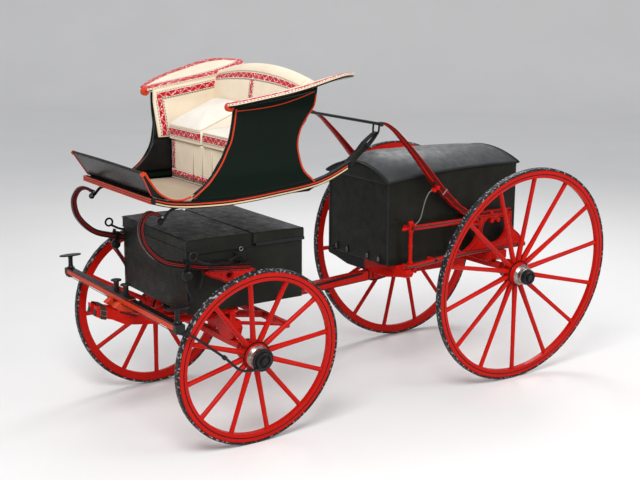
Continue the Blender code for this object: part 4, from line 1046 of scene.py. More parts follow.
def build_floor_mat():
    wide = 0.910
    rows = []
    for y, z in ((-2.880, 1.6470), (-2.800, 1.6285), (-2.700, 1.6225), (-2.600, 1.6205), (-2.450, 1.6205),
                 (-2.312, 1.6205)):
        rows.append([(-wide / 2 + wide * k / 20, y + HIND_Y, z + 0.0008 * math.sin(k * 2.1 + y * 20))
                     for k in range(21)])
    mat = surface("floor_mat", rows, "mat", "seat_body", (0, 0, 1), 0.0018)


cushion_x = 0.4827 + flare(1.915) - 0.0128
build_cushion("left", 0.0015, cushion_x, 2.027, 2.054, 0.034)
build_cushion("right", -cushion_x, -0.0015, 2.058, 2.226, 0.060)
build_fall()
for lining_side, lining_sign in SIDES:
    build_side_lining(lining_side, lining_sign)
build_back_lining()
build_floor_mat()


# body sides, mouldings and dash

ROCKER_LINE = smooth_path(((-2.942, 1.640), (-2.870, 1.618), (-2.806, 1.602), (-2.700, 1.588),
                           (-2.608, 1.581),
                           (-2.480, 1.576), (-2.360, 1.575), (-2.180, 1.584), (-2.010, 1.599),
                           (-1.850, 1.613),
                           (-1.707, 1.633), (-1.610, 1.658), (-1.527, 1.689), (-1.410, 1.741)), 4)
PANEL_FRONT = smooth_path(((-2.655, 1.661), (-2.597, 1.700), (-2.537, 1.747), (-2.486, 1.809),
                           (-2.447, 1.874),
                           (-2.421, 1.949), (-2.404, 2.009), (-2.400, 2.085), (-2.395, 2.183),
                           (-2.391, 2.223)), 4)
PANEL_BACK = smooth_path(((-1.711, 1.679), (-1.792, 1.754), (-1.832, 1.838), (-1.867, 1.952), (-1.863, 2.047),
                          (-1.827, 2.126), (-1.777, 2.203), (-1.757, 2.322)), 5)


def soft_flare(z):
    return sum(flare(z + 0.09 * k / 6) for k in range(-6, 7)) / 13


def rocker_top(y):
    for a, b in zip(ROCKER_LINE, ROCKER_LINE[1:]):
        if y <= b[0]:
            return a[1] + (b[1] - a[1]) * (y - a[0]) / (b[0] - a[0]) + 0.045
    return ROCKER_LINE[-1][1] + 0.045


def side_point(side, p, lift):
    return (side * (0.505 + soft_flare(p[1]) + lift), p[0] + HIND_Y, p[1])


def moulding(name, side, line, width, proud, material):
    """A flat painted moulding laid on the outer face of a body side."""
    path = [side_point(side, p, proud / 2 - 0.001) for p in line]
    slab(name, path, (proud + 0.002, width, 0.0014), material, "seat_body")


def shifted(line, amount):
    """A line moved sideways in the side view; a positive amount moves it to its right."""
    out = []
    for i, p in enumerate(line):
        along = (line[min(i + 1, len(line) - 1)] - line[max(i - 1, 0)]).normalized()
        out.append(Vector((p[0] + along[1] * amount, p[1] - along[0] * amount)))
    return out


def build_side(side_name, side):
    low_ends = (PANEL_FRONT[0], PANEL_BACK[0])
    high_ends = (PANEL_FRONT[-1], PANEL_BACK[-1])
    rows = []
    for j in range(29):
        t = j / 28
        a = point_on(PANEL_FRONT, t)
        b = point_on(PANEL_BACK, t)
        row = []
        for k in range(33):
            share = k / 32
            y, z = a + (b - a) * share
            low = low_ends[0] + (low_ends[1] - low_ends[0]) * share
            high = high_ends[0] + (high_ends[1] - high_ends[0]) * share
            z += (1 - t) ** 2 * (rocker_top(low[0]) + 0.0004 - low[1])
            z += t ** 2 * (wing_station(high[0])[3] - 0.031 - high[1])
            row.append(side_point(side, (y, z), 0.0))
        rows.append(row)
    panel = surface("side_panel_skin_" + side_name, rows, "green", "seat_body", (side, 0, 0), 0.0215)
    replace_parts(panel, "side_panel_" + side_name)
    top = [Vector((y, wing_station(y)[3] - 0.057)) for y in (-2.385 + 0.6 * k / 16 for k in range(17))]
    for k, p in enumerate(top):
        p.y -= 0.024 * math.sin(math.pi * k / 16)
    rocker = ROCKER_LINE[1:-1]
    for name, line, width, proud, material in (
            ("panel_front_line_", shifted(PANEL_FRONT[:-1], 0.0135), 0.011, 0.005, "orange"),
            ("panel_front_edge_", shifted(PANEL_FRONT[:-1], 0.0045), 0.007, 0.003, "black"),
            ("panel_back_line_", shifted(PANEL_BACK[:-2], -0.0085), 0.011, 0.005, "orange"),
            ("panel_top_line_", top, 0.0065, 0.004, "orange"),
            ("rocker_line_", [p + Vector((0, 0.0290)) for p in rocker], 0.008, 0.005, "orange"),
            ("rocker_cream_", [p + Vector((0, 0.0110)) for p in rocker], 0.009, 0.005, "cream_line")):
        moulding(name + side_name, side, line, width, proud, material)
    sill = smooth_path(((-2.655, 1.6560), (-2.720, 1.6420), (-2.790, 1.6500), (-2.850, 1.6800),
                        (-2.897, 1.7160),
                        (-2.945, 1.7720), (-3.003, 1.8500)), 4)
    path = placed([(0.4905 + max(0.0, p[1] - 1.664) * 0.317, p[0], p[1]) for p in sill], side)
    slab("dash_side_line_" + side_name, path, (0.010, 0.013, 0.003), "orange", "seat_body")


def build_dash():
    foot = 1.690
    tall = 0.1605
    slope = 0.106 / 0.186

    def dash_point(x, z, lift):
        return Vector((x, HIND_Y - 2.918 - (z - 1.664) * slope - lift, z + lift * slope))

    rows = []
    for j in range(15):
        t = j / 14
        z = foot + tall * t
        row = []
        for k in range(41):
            x = (0.4975 + 0.051 * t) * (k / 20 - 1)
            crown = 0.0055 * (1 - (x / 0.55) ** 2) * t
            grain = 0.0007 * noise.noise(Vector((x * 5, z * 9, 3)))
            row.append(dash_point(x, z + crown, 0.0016 * math.sin(math.pi * t) + 0.0012 + grain))
        rows.append(row)
    surface("dash_leather", rows, "patent", "seat_body", (0, -1, 0.5), 0.0016)

    def rim_point(half, share, z, lift):
        return dash_point(half * share, z + 0.0055 * (1 - share ** 2), lift)

    top = [rim_point(0.549, k / 30 - 1, 1.8510, -0.009) for k in range(61)]
    bead("dash_binding", top, 0.0100, "leather", "seat_body", sides=10)
    nails = []
    for k in range(58):
        spot = rim_point(0.540, 2 * k / 57 - 1, 1.8420, 0.0016)
        nails.append(rod("nail", [spot, spot + Vector((0, -0.0022, 0.0013))], 0.0030, "steel", 6))
    joined("dash_nails", nails, "seat_body")
    for side in (-1, 1):
        edge = [dash_point(side * (0.4940 + 0.051 * k / 10), foot + tall * k / 10, 0.0030) for k in range(11)]
        slab("dash_edge_line", edge, (0.011, 0.005, 0.0015), "orange", "seat_body")
        cap = [dash_point(side * 0.543, 1.836, -0.006), dash_point(side * 0.548, 1.8545, -0.006)]
        slab("dash_corner_cap", cap, (0.018, 0.026, 0.004), "orange", "seat_body")
    bar_y = -2.9380
    ends = placed([(-0.522, bar_y, 1.6620), (0.522, bar_y, 1.6620)])
    slab("foot_bar", ends, (0.036, 0.038, 0.004), "foot_bar", "seat_body", ALONG)
    for height, proud in ((1.6760, 0.0182), (1.6620, 0.0186), (1.6480, 0.0182)):
        line = placed([(-0.524, bar_y - proud, height), (0.524, bar_y - proud, height)])
        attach(rod("foot_bar_line", line, 0.0042, "orange", 8, ALONG), "seat_body")


MATERIALS["foot_bar"] = painted("foot_bar_paint", BLACK_COLOUR, 0.2, 0.06, 0.05, (), 0.2).mat
for body_side, body_sign in SIDES:
    build_side(body_side, body_sign)
build_dash()


# springs

def sandwich(name, colour, line_colour, width, height, edge, leaves, thick):
    """Paint with leaf lines along both side faces of a slab section and one line near each rim."""
    chamfer = edge * math.sqrt(2)
    flat = width - 2 * edge
    tall = height - 2 * edge
    rim = 0.008
    lines = []
    for start in (flat + chamfer, 2 * flat + 3 * chamfer + tall):
        lines += [(start + tall * k / leaves, thick, line_colour) for k in range(1, leaves)]
    far = flat + tall + 2 * chamfer
    lines += [(centre, 0.0016, line_colour) for centre in (rim, flat - rim, far + rim, far + flat - rim)]
    return painted(name, colour, lines=lines).mat


MATERIALS["c_spring"] = sandwich("c_spring_paint", BLACK_COLOUR, (0.36, 0.012, 0.007), 0.050, 0.040, 0.004, 3,
                                 0.0016)
MATERIALS["whip_spring"] = sandwich("whip_spring_paint", (0.40, 0.009, 0.005), (0.010, 0.005, 0.004), 0.045,
                                    0.050, 0.004, 4, 0.0042)
MATERIALS["rail"] = sandwich("rail_paint", RED_COLOUR, (0.045, 0.040, 0.042), 0.036, 0.036, 0.009, 2, 0.0062)
# Place along Y, height, and thickness of the leaves there.
C_SPRING = ((-2.898, 1.565, 0.020), (-2.948, 1.591, 0.022), (-2.993, 1.581, 0.024), (-3.026, 1.532, 0.026),
            (-3.031, 1.474, 0.030), (-3.011, 1.401, 0.034), (-2.956, 1.328, 0.038), (-2.880, 1.270, 0.040),
            (-2.776, 1.236, 0.040), (-2.670, 1.212, 0.040), (-2.562, 1.192, 0.040), (-2.425, 1.176, 0.036),
            (-2.256, 1.160, 0.030))
WHIP_SPRING = ((-1.150, 2.028, 0.018), (-1.090, 2.022, 0.018), (-1.010, 1.975, 0.020), (-0.940, 1.910, 0.026),
               (-0.860, 1.830, 0.032), (-0.780, 1.745, 0.040), (-0.690, 1.645, 0.048), (-0.600, 1.545, 0.050),
               (-0.510, 1.455, 0.050), (-0.420, 1.375, 0.046), (-0.330, 1.312, 0.040), (-0.240, 1.282, 0.034),
               (-0.150, 1.2735, 0.030), (0.140, 1.2735, 0.030))
# Place along Y, height, tilt, width, length, height of the clip, and its material.
C_CLIPS = ((-2.722, 1.224, -0.25, 0.058, 0.040, 0.062, "black_iron"),
           (-2.722, 1.224, -0.25, 0.0595, 0.018, 0.0635, "black"),
           (-2.560, 1.192, -0.13, 0.054, 0.016, 0.046, "black_iron"),
           (-2.737, 1.262, 1.32, 0.020, 0.026, 0.020, "black_iron"),
           (-2.711, 1.176, 1.32, 0.020, 0.026, 0.020, "black_iron"))
WHIP_CLIPS = ((-0.535, 1.481, -0.80, 0.053, 0.010, 0.060, "steel"),
              (-0.520, 1.466, -0.80, 0.051, 0.022, 0.056, "whip_spring"),
              (-0.430, 1.383, -0.72, 0.049, 0.040, 0.054, "whip_spring"),
              (-0.340, 1.316, -0.55, 0.047, 0.040, 0.050, "whip_spring"),
              (-0.060, 1.2735, 0.0, 0.051, 0.030, 0.031, "red"),
              (0.085, 1.2735, 0.0, 0.051, 0.030, 0.031, "red"))


def leaf_spring(name, x, stations, width, height, material):
    line = smooth_path(stations, 5)
    return slab(name, side_view(x, line), (width, height, 0.004), material,
                scale=[(1.0, p[2] / height) for p in line])


def spring_clip(x, y, z, angle, width, length, height, material):
    half = Vector((0, math.cos(angle), math.sin(angle))) * length / 2
    centre = Vector((x, y + HIND_Y, z))
    return slab("clip", [centre - half, centre + half], (width, height, 0.005), material)


for spring_side, spring_sign in SIDES:
    x_place = spring_sign * 0.530
    leaves = [leaf_spring("c_spring_" + spring_side, x_place, C_SPRING, 0.050, 0.040, "c_spring"),
              round_pin(x_place - 0.027, x_place + 0.027, -2.895, 1.563, 0.0130, "black_iron"),
              round_pin(x_place - 0.031, x_place + 0.031, -2.895, 1.563, 0.0070, "steel")]
    leaves += [spring_clip(x_place, *clip) for clip in C_CLIPS]
    spring = joined("c_spring_leaves_" + spring_side, leaves)
    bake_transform(spring)
    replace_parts(spring, "c_spring_" + spring_side)
    x_place = spring_sign * 0.460
    leaves = [leaf_spring("whip_spring_" + spring_side, x_place, WHIP_SPRING, 0.045, 0.050, "whip_spring")]
    leaves += [spring_clip(x_place, *clip) for clip in WHIP_CLIPS]
    spring = joined("whip_spring_leaves_" + spring_side, leaves)
    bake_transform(spring)
    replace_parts(spring, "whip_spring_" + spring_side)


# undercarriage

# Place of the splinter bar along Y, measured from the hind axle as in the tables.
BAR_Y = -2.950


def side_boss(name, side, spot, profile, material, steps):
    """A turned boss that points outward; its profile gives radius and reach."""
    place = Matrix.Translation((side * spot[0], spot[1] + HIND_Y, spot[2]))
    place = place @ Matrix.Rotation(side * math.pi / 2, 4, "Y")
    lathe(name, profile, place, material, "carriage", steps, 0.0, False)


def heart_loop(y, z, width, height, count, dip, spread):
    """A closed oval with its top pressed in."""
    out = []
    for k, angle in enumerate(circle(count)):
        size = 1 - dip * math.exp(-(((k - count / 4) / spread) ** 2))
        out.append(Vector((y + width * size * math.cos(angle), z + height * size * math.sin(angle))))
    return out


def build_splinter_bar():
    lines = [(centre, 0.0016, ORANGE_COLOUR) for centre in (0.0800, 0.0620)]
    MATERIALS["bar_top"] = painted("bar_top_paint", BLACK_COLOUR, lines=lines).mat
    for name, reach, forward, z, size, material in (
            ("bar_top_line", 0.874, 0.0, 0.9512, (0.046, 0.0030, 0.0008), "bar_top"),
            ("bar_top_plate", 0.196, 0.0, 0.9580, (0.058, 0.0060, 0.002), "black_iron"),
            ("bar_high_line", 0.874, 0.0300, 0.9480, (0.0036, 0.0080, 0.0008), "black"),
            ("bar_low_line", 0.874, 0.0304, 0.9035, (0.0030, 0.0040, 0.0008), "black")):
        ends = placed([(-reach, BAR_Y - forward, z), (reach, BAR_Y - forward, z)])
        slab(name, ends, size, material, "fore_carriage", ALONG)
    post = [(0.0, 1.0350), (0.012, 1.0345), (0.0340, 1.0310), (0.0370, 1.0270), (0.0350, 1.0225),
            (0.0200, 1.0190),
            (0.0185, 1.0100), (0.0180, 0.9760), (0.0195, 0.9640), (0.0270, 0.9580), (0.0280, 0.9500)]
    stem = ((0.896, 0.0120), (0.9500, 0.0120), (0.9503, 0.0290), (0.9570, 0.0300), (0.9640, 0.0200),
            (0.9760, 0.0165), (1.0100, 0.0160), (1.0340, 0.0170), (1.0440, 0.0230))
    iron = ((0.865, 0.0, 0.892), (0.872, 0.07, 0.872), (0.872, 0.19, 0.780), (0.872, 0.31, 0.683),
            (0.870, 0.39, 0.606), (0.864, 0.45, 0.567), (0.850, 0.53, 0.552), (0.840, 0.602, 0.5500))
    eye = [(0.0760, 0.0555), (0.0775, 0.0535), (0.0775, 0.0435), (0.0760, 0.0415), (0.0610, 0.0415),
           (0.0610, 0.0555)]
    oval = [(0.0330 * math.cos(a), 0.0830 * math.sin(a)) for a in circle(32)]
    roller = 0.840
    for side_name, side in SIDES:
        collar = placed([(0.844, BAR_Y, 0.9275), (0.8785, BAR_Y, 0.9275)], side)
        slab("bar_end_collar_" + side_name, collar, (0.066, 0.0500, 0.006), "black_iron", "fore_carriage",
             ALONG)
        place = Matrix.Translation((side * 0.075, HIND_Y + BAR_Y + 0.012, 0))
        lathe("bar_post_" + side_name, post, place, "black_iron", "fore_carriage", 40, 0.0, False)
        faces = placed([(roller, BAR_Y, z) for z in (1.0440, 1.0465, 1.0510, 1.0530)], side)
        parts = [sweep("roller_plate", faces, oval, "black_iron",
                       scale=[(0.92, 0.96), (1.0, 1.0), (1.0, 1.0), (0.93, 0.97)]),
                 turned("roller_stem", placed([(roller, BAR_Y, z) for z, r in stem], side),
                        [r for z, r in stem], "black_iron")]
        palm = placed([(roller + 0.0025, BAR_Y + y, 0.8972) for y in (-0.027, 0.027)], side)
        parts.append(slab("palm", palm, (0.065, 0.0145, 0.003), "black_iron"))
        line = smooth_path(placed([(x, BAR_Y + y, z) for x, y, z in iron], side), 5)
        parts.append(rod("wheel_iron_bar", line, 0.0088, "black_iron", 14))
        for i, long, radius in ((15, 0.030, 0.0150), (2, 0.018, 0.0140)):
            half = (line[i + 1] - line[i]).normalized() * long / 2
            steps = [line[i] + half * share for share in (-1, -0.7, 0.7, 1)]
            parts.append(sweep("collar", steps, round_section(radius, 16), "black_iron",
                               scale=[(size, size) for size in (0.75, 1, 1, 0.75)]))
        joined("wheel_iron_" + side_name + "_bar", parts, "fore_carriage", "wheel_iron_" + side_name)
        place = wheel_place(side, *FRONT_HUB)
        lathe("wheel_iron_eye_" + side_name, eye, place, "black_iron", "fore_carriage", 64)


def build_pole_strap():
    strap_y = -3.105
    lean = 0.29
    ring = [(-0.0785, 0.822), (-0.0795, 0.885), (-0.066, 0.9015), (-0.030, 0.9065), (0.030, 0.9065),
            (0.066, 0.9015), (0.0795, 0.885), (0.0785, 0.822), (0.066, 0.8155), (-0.066, 0.8155)]
    path = placed([(p[0], strap_y, p[1]) for p in closed_curve(ring, 4)])
    MATERIALS["brown_leather"] = leather("strap_leather", (0.030, 0.014, 0.009), 0.5, 300.0, 0.0, 0.2).mat
    strap = slab("pole_strap_loop", path, (0.038, 0.0042, 0.0010), "brown_leather", None, ALONG, closed=True)
    for vertex in strap.data.vertices:
        vertex.co.z -= lean * (vertex.co.y - HIND_Y - strap_y)
    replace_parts(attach(strap, "fore_carriage"), "pole_strap")
    buckle = placed([(0.0835, strap_y + y, z) for y, z in ((-0.022, 0.845), (0.022, 0.832), (0.022, 0.868),
                                                          (-0.022, 0.881))])
    bead("pole_strap_buckle", buckle, 0.0026, "steel", "fore_carriage", closed=True)
    for side in (-1, 1):
        tip = placed([(0.0475, -3.1480, 0.8690), (0.0475, -3.1515, 0.8700)], side)
        slab("jaw_tip", tip, (0.036, 0.062, 0.004), "black_iron", "fore_carriage")


def build_spring_bracket(side_name, side):
    outline = closed_curve([(-2.585, 1.160), (-2.545, 1.1690), (-2.425, 1.1560), (-2.255, 1.1400),
                            (-2.222, 1.134),
                            (-2.250, 1.122), (-2.300, 1.114), (-2.345, 1.094), (-2.380, 1.080),
                            (-2.412, 1.075),
                            (-2.446, 1.080), (-2.490, 1.104), (-2.540, 1.122), (-2.575, 1.142)], 3)
    hole = heart_loop(-2.415, 1.122, 0.0240, 0.0240, 32, 0.25, 2.2)
    carved = plate("spring_bracket_plate_" + side_name, outline, [hole], side * 0.4753, side * 0.5570, "red",
                   "carriage")
    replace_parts(carved, "spring_bracket_" + side_name)
    face = side * 0.5573
    side_line("bracket_line_" + side_name, face, inset(outline, 0.0028), 0.0044, "black", "carriage", True)
    side_line("bracket_hole_line_" + side_name, face, inset(hole, -0.0030), 0.0040, "black", "carriage", True)
    for y, z, r in ((-2.470, 1.130, 0.013), (-2.358, 1.126, 0.013), (-2.525, 1.145, 0.009),
                    (-2.295, 1.130, 0.009)):
        rosette = [(0.0, 0.0045), (r * 0.5, 0.0038), (r, 0.0005), (r, -0.003)]
        side_boss("bracket_rosette_" + side_name, side, (0.5575, y, z), rosette, "red", 20)
    stay = smooth_path(placed([(0.536, -2.722, 1.200), (0.530, -2.720, 1.120), (0.508, -2.700, 1.060),
                               (0.497, -2.672, 1.000), (0.494, -2.668, 0.960)], side), 4)
    bead("spring_stay_" + side_name, stay, 0.0080, "black_iron", "carriage", sides=12)
    boss = [(0.0, 0.0300), (0.0140, 0.0290), (0.0170, 0.0220), (0.0300, 0.0170), (0.0340, 0.0080),
            (0.0340, -0.0080), (0.0300, -0.0170), (0.0160, -0.0240), (0.0, -0.0260)]
    side_boss("spring_boss_" + side_name, side, (0.545, -2.722, 1.158), boss, "black_iron", 32)
    stay = placed([(0.530, -2.590, 1.195), (0.512, -2.596, 1.120), (0.494, -2.610, 1.040)], side)
    bead("stay_brace_" + side_name, smooth_path(stay, 4), 0.0065, "black_iron", "carriage")
    palm = placed([(0.4815, -2.667, 0.952), (0.4815, -2.667, 1.004)], side)
    slab("stay_palm_" + side_name, palm, (0.0125, 0.034, 0.003), "black_iron", "carriage")


def build_hind_frame(side_name, side):
    left = ((-0.313, 0.990), (-0.232, 1.040), (-0.184, 1.100), (-0.174, 1.160), (-0.190, 1.215))
    right = ((0.146, 1.215), (0.150, 1.170), (0.172, 1.122), (0.235, 1.072), (0.300, 0.990))
    top = [Vector((-0.190, 1.2579)), Vector((0.150, 1.2579))]
    outline = top + smooth_path(right, 4) + smooth_path(left, 4)
    heart = heart_loop(-0.016, 1.140, 0.1330, 0.1120, 40, 0.36, 2.4)
    plate("hind_bracket_plate_" + side_name, outline, [heart], side * 0.4385, side * 0.4815, "red",
          "carriage")
    face = side * 0.4817
    side_line("hind_heart_line_" + side_name, face, inset(heart, -0.0075), 0.0042, "black", "carriage", True)
    side_line("hind_plate_line_" + side_name, face, inset(outline, 0.0080), 0.0036, "black", "carriage", True)
    scroll = [(0.0, 0.026), (0.006, 0.0255), (0.010, 0.0215), (0.0165, 0.0215), (0.0165, -0.020),
              (0.0, -0.020)]
    for y in (-0.048, 0.016):
        side_boss("heart_scroll_" + side_name, side, (0.4600, y, 1.207), scroll, "red", 24)
    x = side * 0.460
    rail_z = 1.234
    lower = smooth_path(((-0.900, 0.9455), (-0.760, 0.9485), (-0.300, 0.9800), (0.312, 0.9815)), 4)
    curl = smooth_path(((-0.160, 1.180), (-0.240, 1.200), (-0.350, 1.165), (-0.400, 1.090), (-0.380, 1.020),
                        (-0.340, 0.985)), 5)
    upper = ((-0.845, rail_z), (-0.152, rail_z))
    rails = [slab("upper_rail", side_view(x, upper), (0.032, 0.038, 0.010), "rail"),
             slab("lower_rail", side_view(x, lower), (0.038, 0.034, 0.008), "rail"),
             slab("hind_scroll", side_view(x, curl), (0.030, 0.026, 0.007), "rail")]
    stem = ((0.930, 0.0170), (0.968, 0.0170), (0.972, 0.0210), (0.982, 0.0210), (0.988, 0.0145),
            (1.060, 0.0135),
            (1.088, 0.0150), (1.093, 0.0175), (1.101, 0.0175), (1.106, 0.0150), (1.150, 0.0140),
            (1.198, 0.0150),
            (1.206, 0.0205), (1.262, 0.0205), (1.268, 0.0235), (1.280, 0.0225), (1.288, 0.0150),
            (1.291, 0.0050))
    knob = ((-0.842, 0.0130), (-0.866, 0.0100), (-0.872, 0.0120), (-0.880, 0.0150), (-0.891, 0.0160),
            (-0.902, 0.0140), (-0.910, 0.0090), (-0.914, 0.0030))
    path = side_view(x, [(-0.832, z) for z, r in stem])
    rails.append(turned("hind_post", path, [r for z, r in stem], "red", 24))
    path = side_view(x, [(y, rail_z) for y, r in knob])
    rails.append(turned("rail_knob", path, [r for y, r in knob], "red"))
    for y, z in ((-0.886, 0.956), (-0.800, 0.912)):
        rails.append(round_pin(side * 0.446, side * 0.484, y, z, 0.0165, "red"))
        rails.append(round_pin(side * 0.478, side * 0.487, y, z, 0.0075, "black_iron"))
    for y, z in ((-0.832, rail_z), (-0.180, rail_z), (-0.60, 0.965), (0.230, 0.985)):
        rails.append(round_pin(side * 0.3855, side * 0.462, y, z, 0.0140, "red"))
        rails.append(round_pin(side * 0.476, side * 0.4835, y, z, 0.0120, "black_iron", 6))
    joined("hind_frame_rails_" + side_name, rails, "carriage", "hind_frame_" + side_name)


def build_lever_rod():
    line = smooth_path(placed([(0.494, -0.832, 1.262), (0.499, -0.800, 1.283), (0.502, -0.774, 1.320),
                               (0.503, -0.752, 1.395), (0.503, -0.730, 1.455), (0.500, -0.695, 1.498),
                               (0.490, -0.640, 1.512)]), 6)
    parts = [rod("lever", line, 0.0042, "grey_iron", 12)]
    for pin in ((0.4825, 0.512, -0.655, 1.508, 0.0150, "red"), (0.4825, 0.512, -0.622, 1.524, 0.0150, "red"),
                (0.484, 0.508, -0.832, 1.262, 0.0100, "red"),
                (0.486, 0.510, -0.650, 1.560, 0.0085, "black_iron")):
        parts.append(round_pin(*pin))
    joined("lever_rod_bar", parts, "carriage", "lever_rod")


def build_perch_lines():
    slot = closed_curve([(-1.900, 0.792), (-1.700, 0.7930), (-1.500, 0.7880), (-1.200, 0.8050),
                         (-0.975, 0.8200),
                         (-0.972, 0.8090), (-1.200, 0.7920), (-1.500, 0.7730), (-1.700, 0.7790)], 4)
    scroll = ((-0.927, 0.850), (-0.900, 0.838), (-0.887, 0.802), (-0.893, 0.775), (-0.867, 0.756),
              (-0.813, 0.754),
              (-0.740, 0.762), (-0.640, 0.778))
    high = ((-0.640, 0.784), (-0.700, 0.822), (-0.773, 0.845), (-0.827, 0.842), (-0.850, 0.818),
            (-0.852, 0.762))
    bottom = ((-1.90, 0.7590), (-1.50, 0.7360), (-1.30, 0.7410), (-0.90, 0.7600))
    top = ((-1.96, 0.8380), (-1.80, 0.8140), (-1.50, 0.7960), (-0.92, 0.8260))
    # Half width of the futchells along Y, and the line on their faces.
    stops = ((-3.148, 0.0475), (-2.9, 0.070), (-2.685, 0.100), (-2.338, 0.140))
    face = ((-2.990, 0.8480), (-2.850, 0.7930), (-2.685, 0.7630), (-2.450, 0.7570), (-2.360, 0.7540))
    futchell = []
    for y, z in face:
        (y0, x0), (y1, x1) = next(pair for pair in zip(stops, stops[1:]) if y <= pair[1][0])
        futchell.append((x0 + (x1 - x0) * (y - y0) / (y1 - y0) + 0.0228, y, z))
    for side in (-1, 1):
        plate("perch_slot_line", slot, [], side * 0.0280, side * 0.0310, "black", "carriage")
        side_line("perch_low_line", side * 0.0302, bottom, 0.006, "black", "carriage")
        bead("perch_scroll", smooth_path(side_view(side * 0.0310, scroll), 4), 0.0055, "black", "carriage")
        bead("perch_scroll_high", smooth_path(side_view(side * 0.0310, high), 4), 0.0045, "black", "carriage")
        side_line("perch_top_line", side * 0.0302, top, 0.003, "black", "carriage")
        slab("futchell_line", placed(futchell, side), (0.0024, 0.010, 0.0005), "black", "fore_carriage")


build_splinter_bar()
build_pole_strap()
for frame_side, frame_sign in SIDES:
    build_spring_bracket(frame_side, frame_sign)
    build_hind_frame(frame_side, frame_sign)
build_lever_rod()
build_perch_lines()


# hind boot lid

# Place along Y, height of the ridge and height of the eave.
HIND_LID = ((-1.000, 1.683, 1.572), (-0.873, 1.730, 1.588), (-0.755, 1.751, 1.600), (-0.583, 1.750, 1.614),
            (-0.321, 1.749, 1.628), (0.017, 1.738, 1.632), (0.285, 1.719, 1.629))
LID_HALF = 0.400


def lid_point(x, station, drop):
    y, ridge, eave = station
    return (x, y + HIND_Y, eave + (ridge - eave) * (1 - (x / LID_HALF) ** 2) - drop)


def build_hind_lid():
    stations = smooth_path(HIND_LID, 5)
    across = [LID_HALF * (k / 24 - 1) for k in range(49)]
    rows = [[lid_point(x, station, 0.0008 * noise.noise(Vector((x * 9, station[0] * 7, 1)))) for x in across]
            for station in stations]
    skin = surface("hind_lid_skin", rows, "lid_leather", "hind_lid", (0, 0, 1), 0.010)
    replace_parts(skin, "hind_boot_lid")
    for name, station, outward in (("front", stations[0], -1), ("rear", stations[-1], 1)):
        rows = []
        for x in across:
            top = lid_point(x, station, 0.004)
            low = station[2] - 0.0115
            rows.append([(x * 0.998, top[1] - 0.002 * outward, low + (top[2] - low) * k / 6)
                         for k in range(7)])
        surface("hind_lid_end_" + name, rows, "leather", "hind_lid", (0, outward, 0), 0.026)
        arc = [lid_point(x, station, 0.001) for x in across]
        bead("hind_lid_bead_" + name, arc, 0.0050, "leather", "hind_lid")
    for side in (-1, 1):
        eave = placed([(0.3975, s[0], s[2] - 0.0040) for s in stations], side)
        bead("hind_lid_eave", eave, 0.0050, "leather", "hind_lid")
        lip = placed([(0.3900, s[0], s[2] - 0.0080) for s in stations[1:-1]], side)
        slab("hind_lid_lip", lip, (0.018, 0.007, 0.002), "leather", "hind_lid")


# Painted sheen: this leather is paler and bluer than the boot leather, a lit copy standing in for the
# grey-blue sheen on the lid top.
MATERIALS["lid_leather"] = leather("lid_leather", (0.0090, 0.0112, 0.0120), 0.38, 380.0, 0.05, 0.2).mat
build_hind_lid()


# boot trim

def build_boot_trim():
    front = -2.6935
    seam = -2.2025
    rear = -1.7860
    wide = 0.4835
    front_rim = ((seam - 0.012, 1.3655, 0.0), (front + 0.18, 1.3715, 0.0), (front, 1.3655, 0.0))
    front_hem = ((front + 0.094, 1.2715, 0.0), (front, 1.3010, 0.0))
    rear_rim = ((seam + 0.012, 1.3645, 0.0), (rear - 0.012, 1.3575, 0.0), (rear, 1.3500, 0.01))
    for name, half_line, body in (("front_lid_bead", front_rim, "boot_lid_front"),
                                  ("front_lid_hem_bead", front_hem, "boot_lid_front"),
                                  ("rear_lid_bead", rear_rim, "boot_lid_rear")):
        half = [(wide - inward, y, z) for y, z, inward in half_line]
        bead(name, placed(half, -1) + placed(half[::-1]), 0.0036, "leather", body)
    for side_name, side in SIDES:
        x = side * (wide + 0.0020)
        batten = side_view(x, ((seam + 0.014, 1.2850), (rear, 1.2850)))
        slab("lid_batten_" + side_name, batten, (0.0060, 0.0220, 0.002), "black_iron", "boot_lid_rear")
        strap = side_view(x, ((seam + 0.022, 1.2740), (seam + 0.022, 1.3600)))
        slab("lid_strap_" + side_name, strap, (0.0060, 0.0200, 0.002), "black_iron", "boot_lid_rear")
        for y, body in ((-0.024, "boot_lid_front"), (0.024, "boot_lid_rear")):
            centre = Vector((side * 0.36, HIND_Y + seam + y, 1.3660))
            half = Vector((0.022, 0, 0))
            slab("hinge_leaf_" + side_name, [centre - half, centre + half], (0.018, 0.0040, 0.001),
                 "black_iron", body, ALONG)
        hasp = Vector((side * 0.4800, HIND_Y + seam - 0.085, 1.2200))
        slab("hasp_plate_" + side_name, [hasp + Vector((0, 0, -0.050)), hasp + Vector((0, 0, 0.045))],
             (0.0070, 0.0200, 0.002), "black_iron", "carriage")
        loop = [hasp + Vector((side * 0.006, 0.013 * math.cos(a), 0.050 + 0.013 * math.sin(a)))
                for a in circle(16)]
        bead("hasp_ring_" + side_name, loop, 0.0028, "steel", "carriage", closed=True)
        corner = side_view(side * 0.4765, ((-2.6865, 0.874), (-2.6865, 1.298)))
        bead("boot_corner_" + side_name, corner, 0.0030, "leather", "carriage")
        corner = side_view(side * 0.3735, ((-0.9795, 0.951), (-0.9795, 1.560)))
        # painted sheen: the same paler, bluish leather as the lid top
        slab("hind_boot_corner_" + side_name, corner, (0.020, 0.006, 0.002), "lid_leather", "carriage")
        for tab_x in (0.13, 0.27):
            strap = side_view(side * tab_x, ((-0.9815, 0.955), (-0.9815, 1.015)))
            slab("boot_tab", strap, (0.022, 0.005, 0.002), "black_iron", "carriage")
            loop = placed([(side * tab_x + 0.010 * math.cos(a), -0.9860, 0.985 + 0.014 * math.sin(a))
                           for a in circle(12)])
            bead("boot_tab_ring", loop, 0.0022, "steel", "carriage", closed=True)


build_boot_trim()


# mounting steps

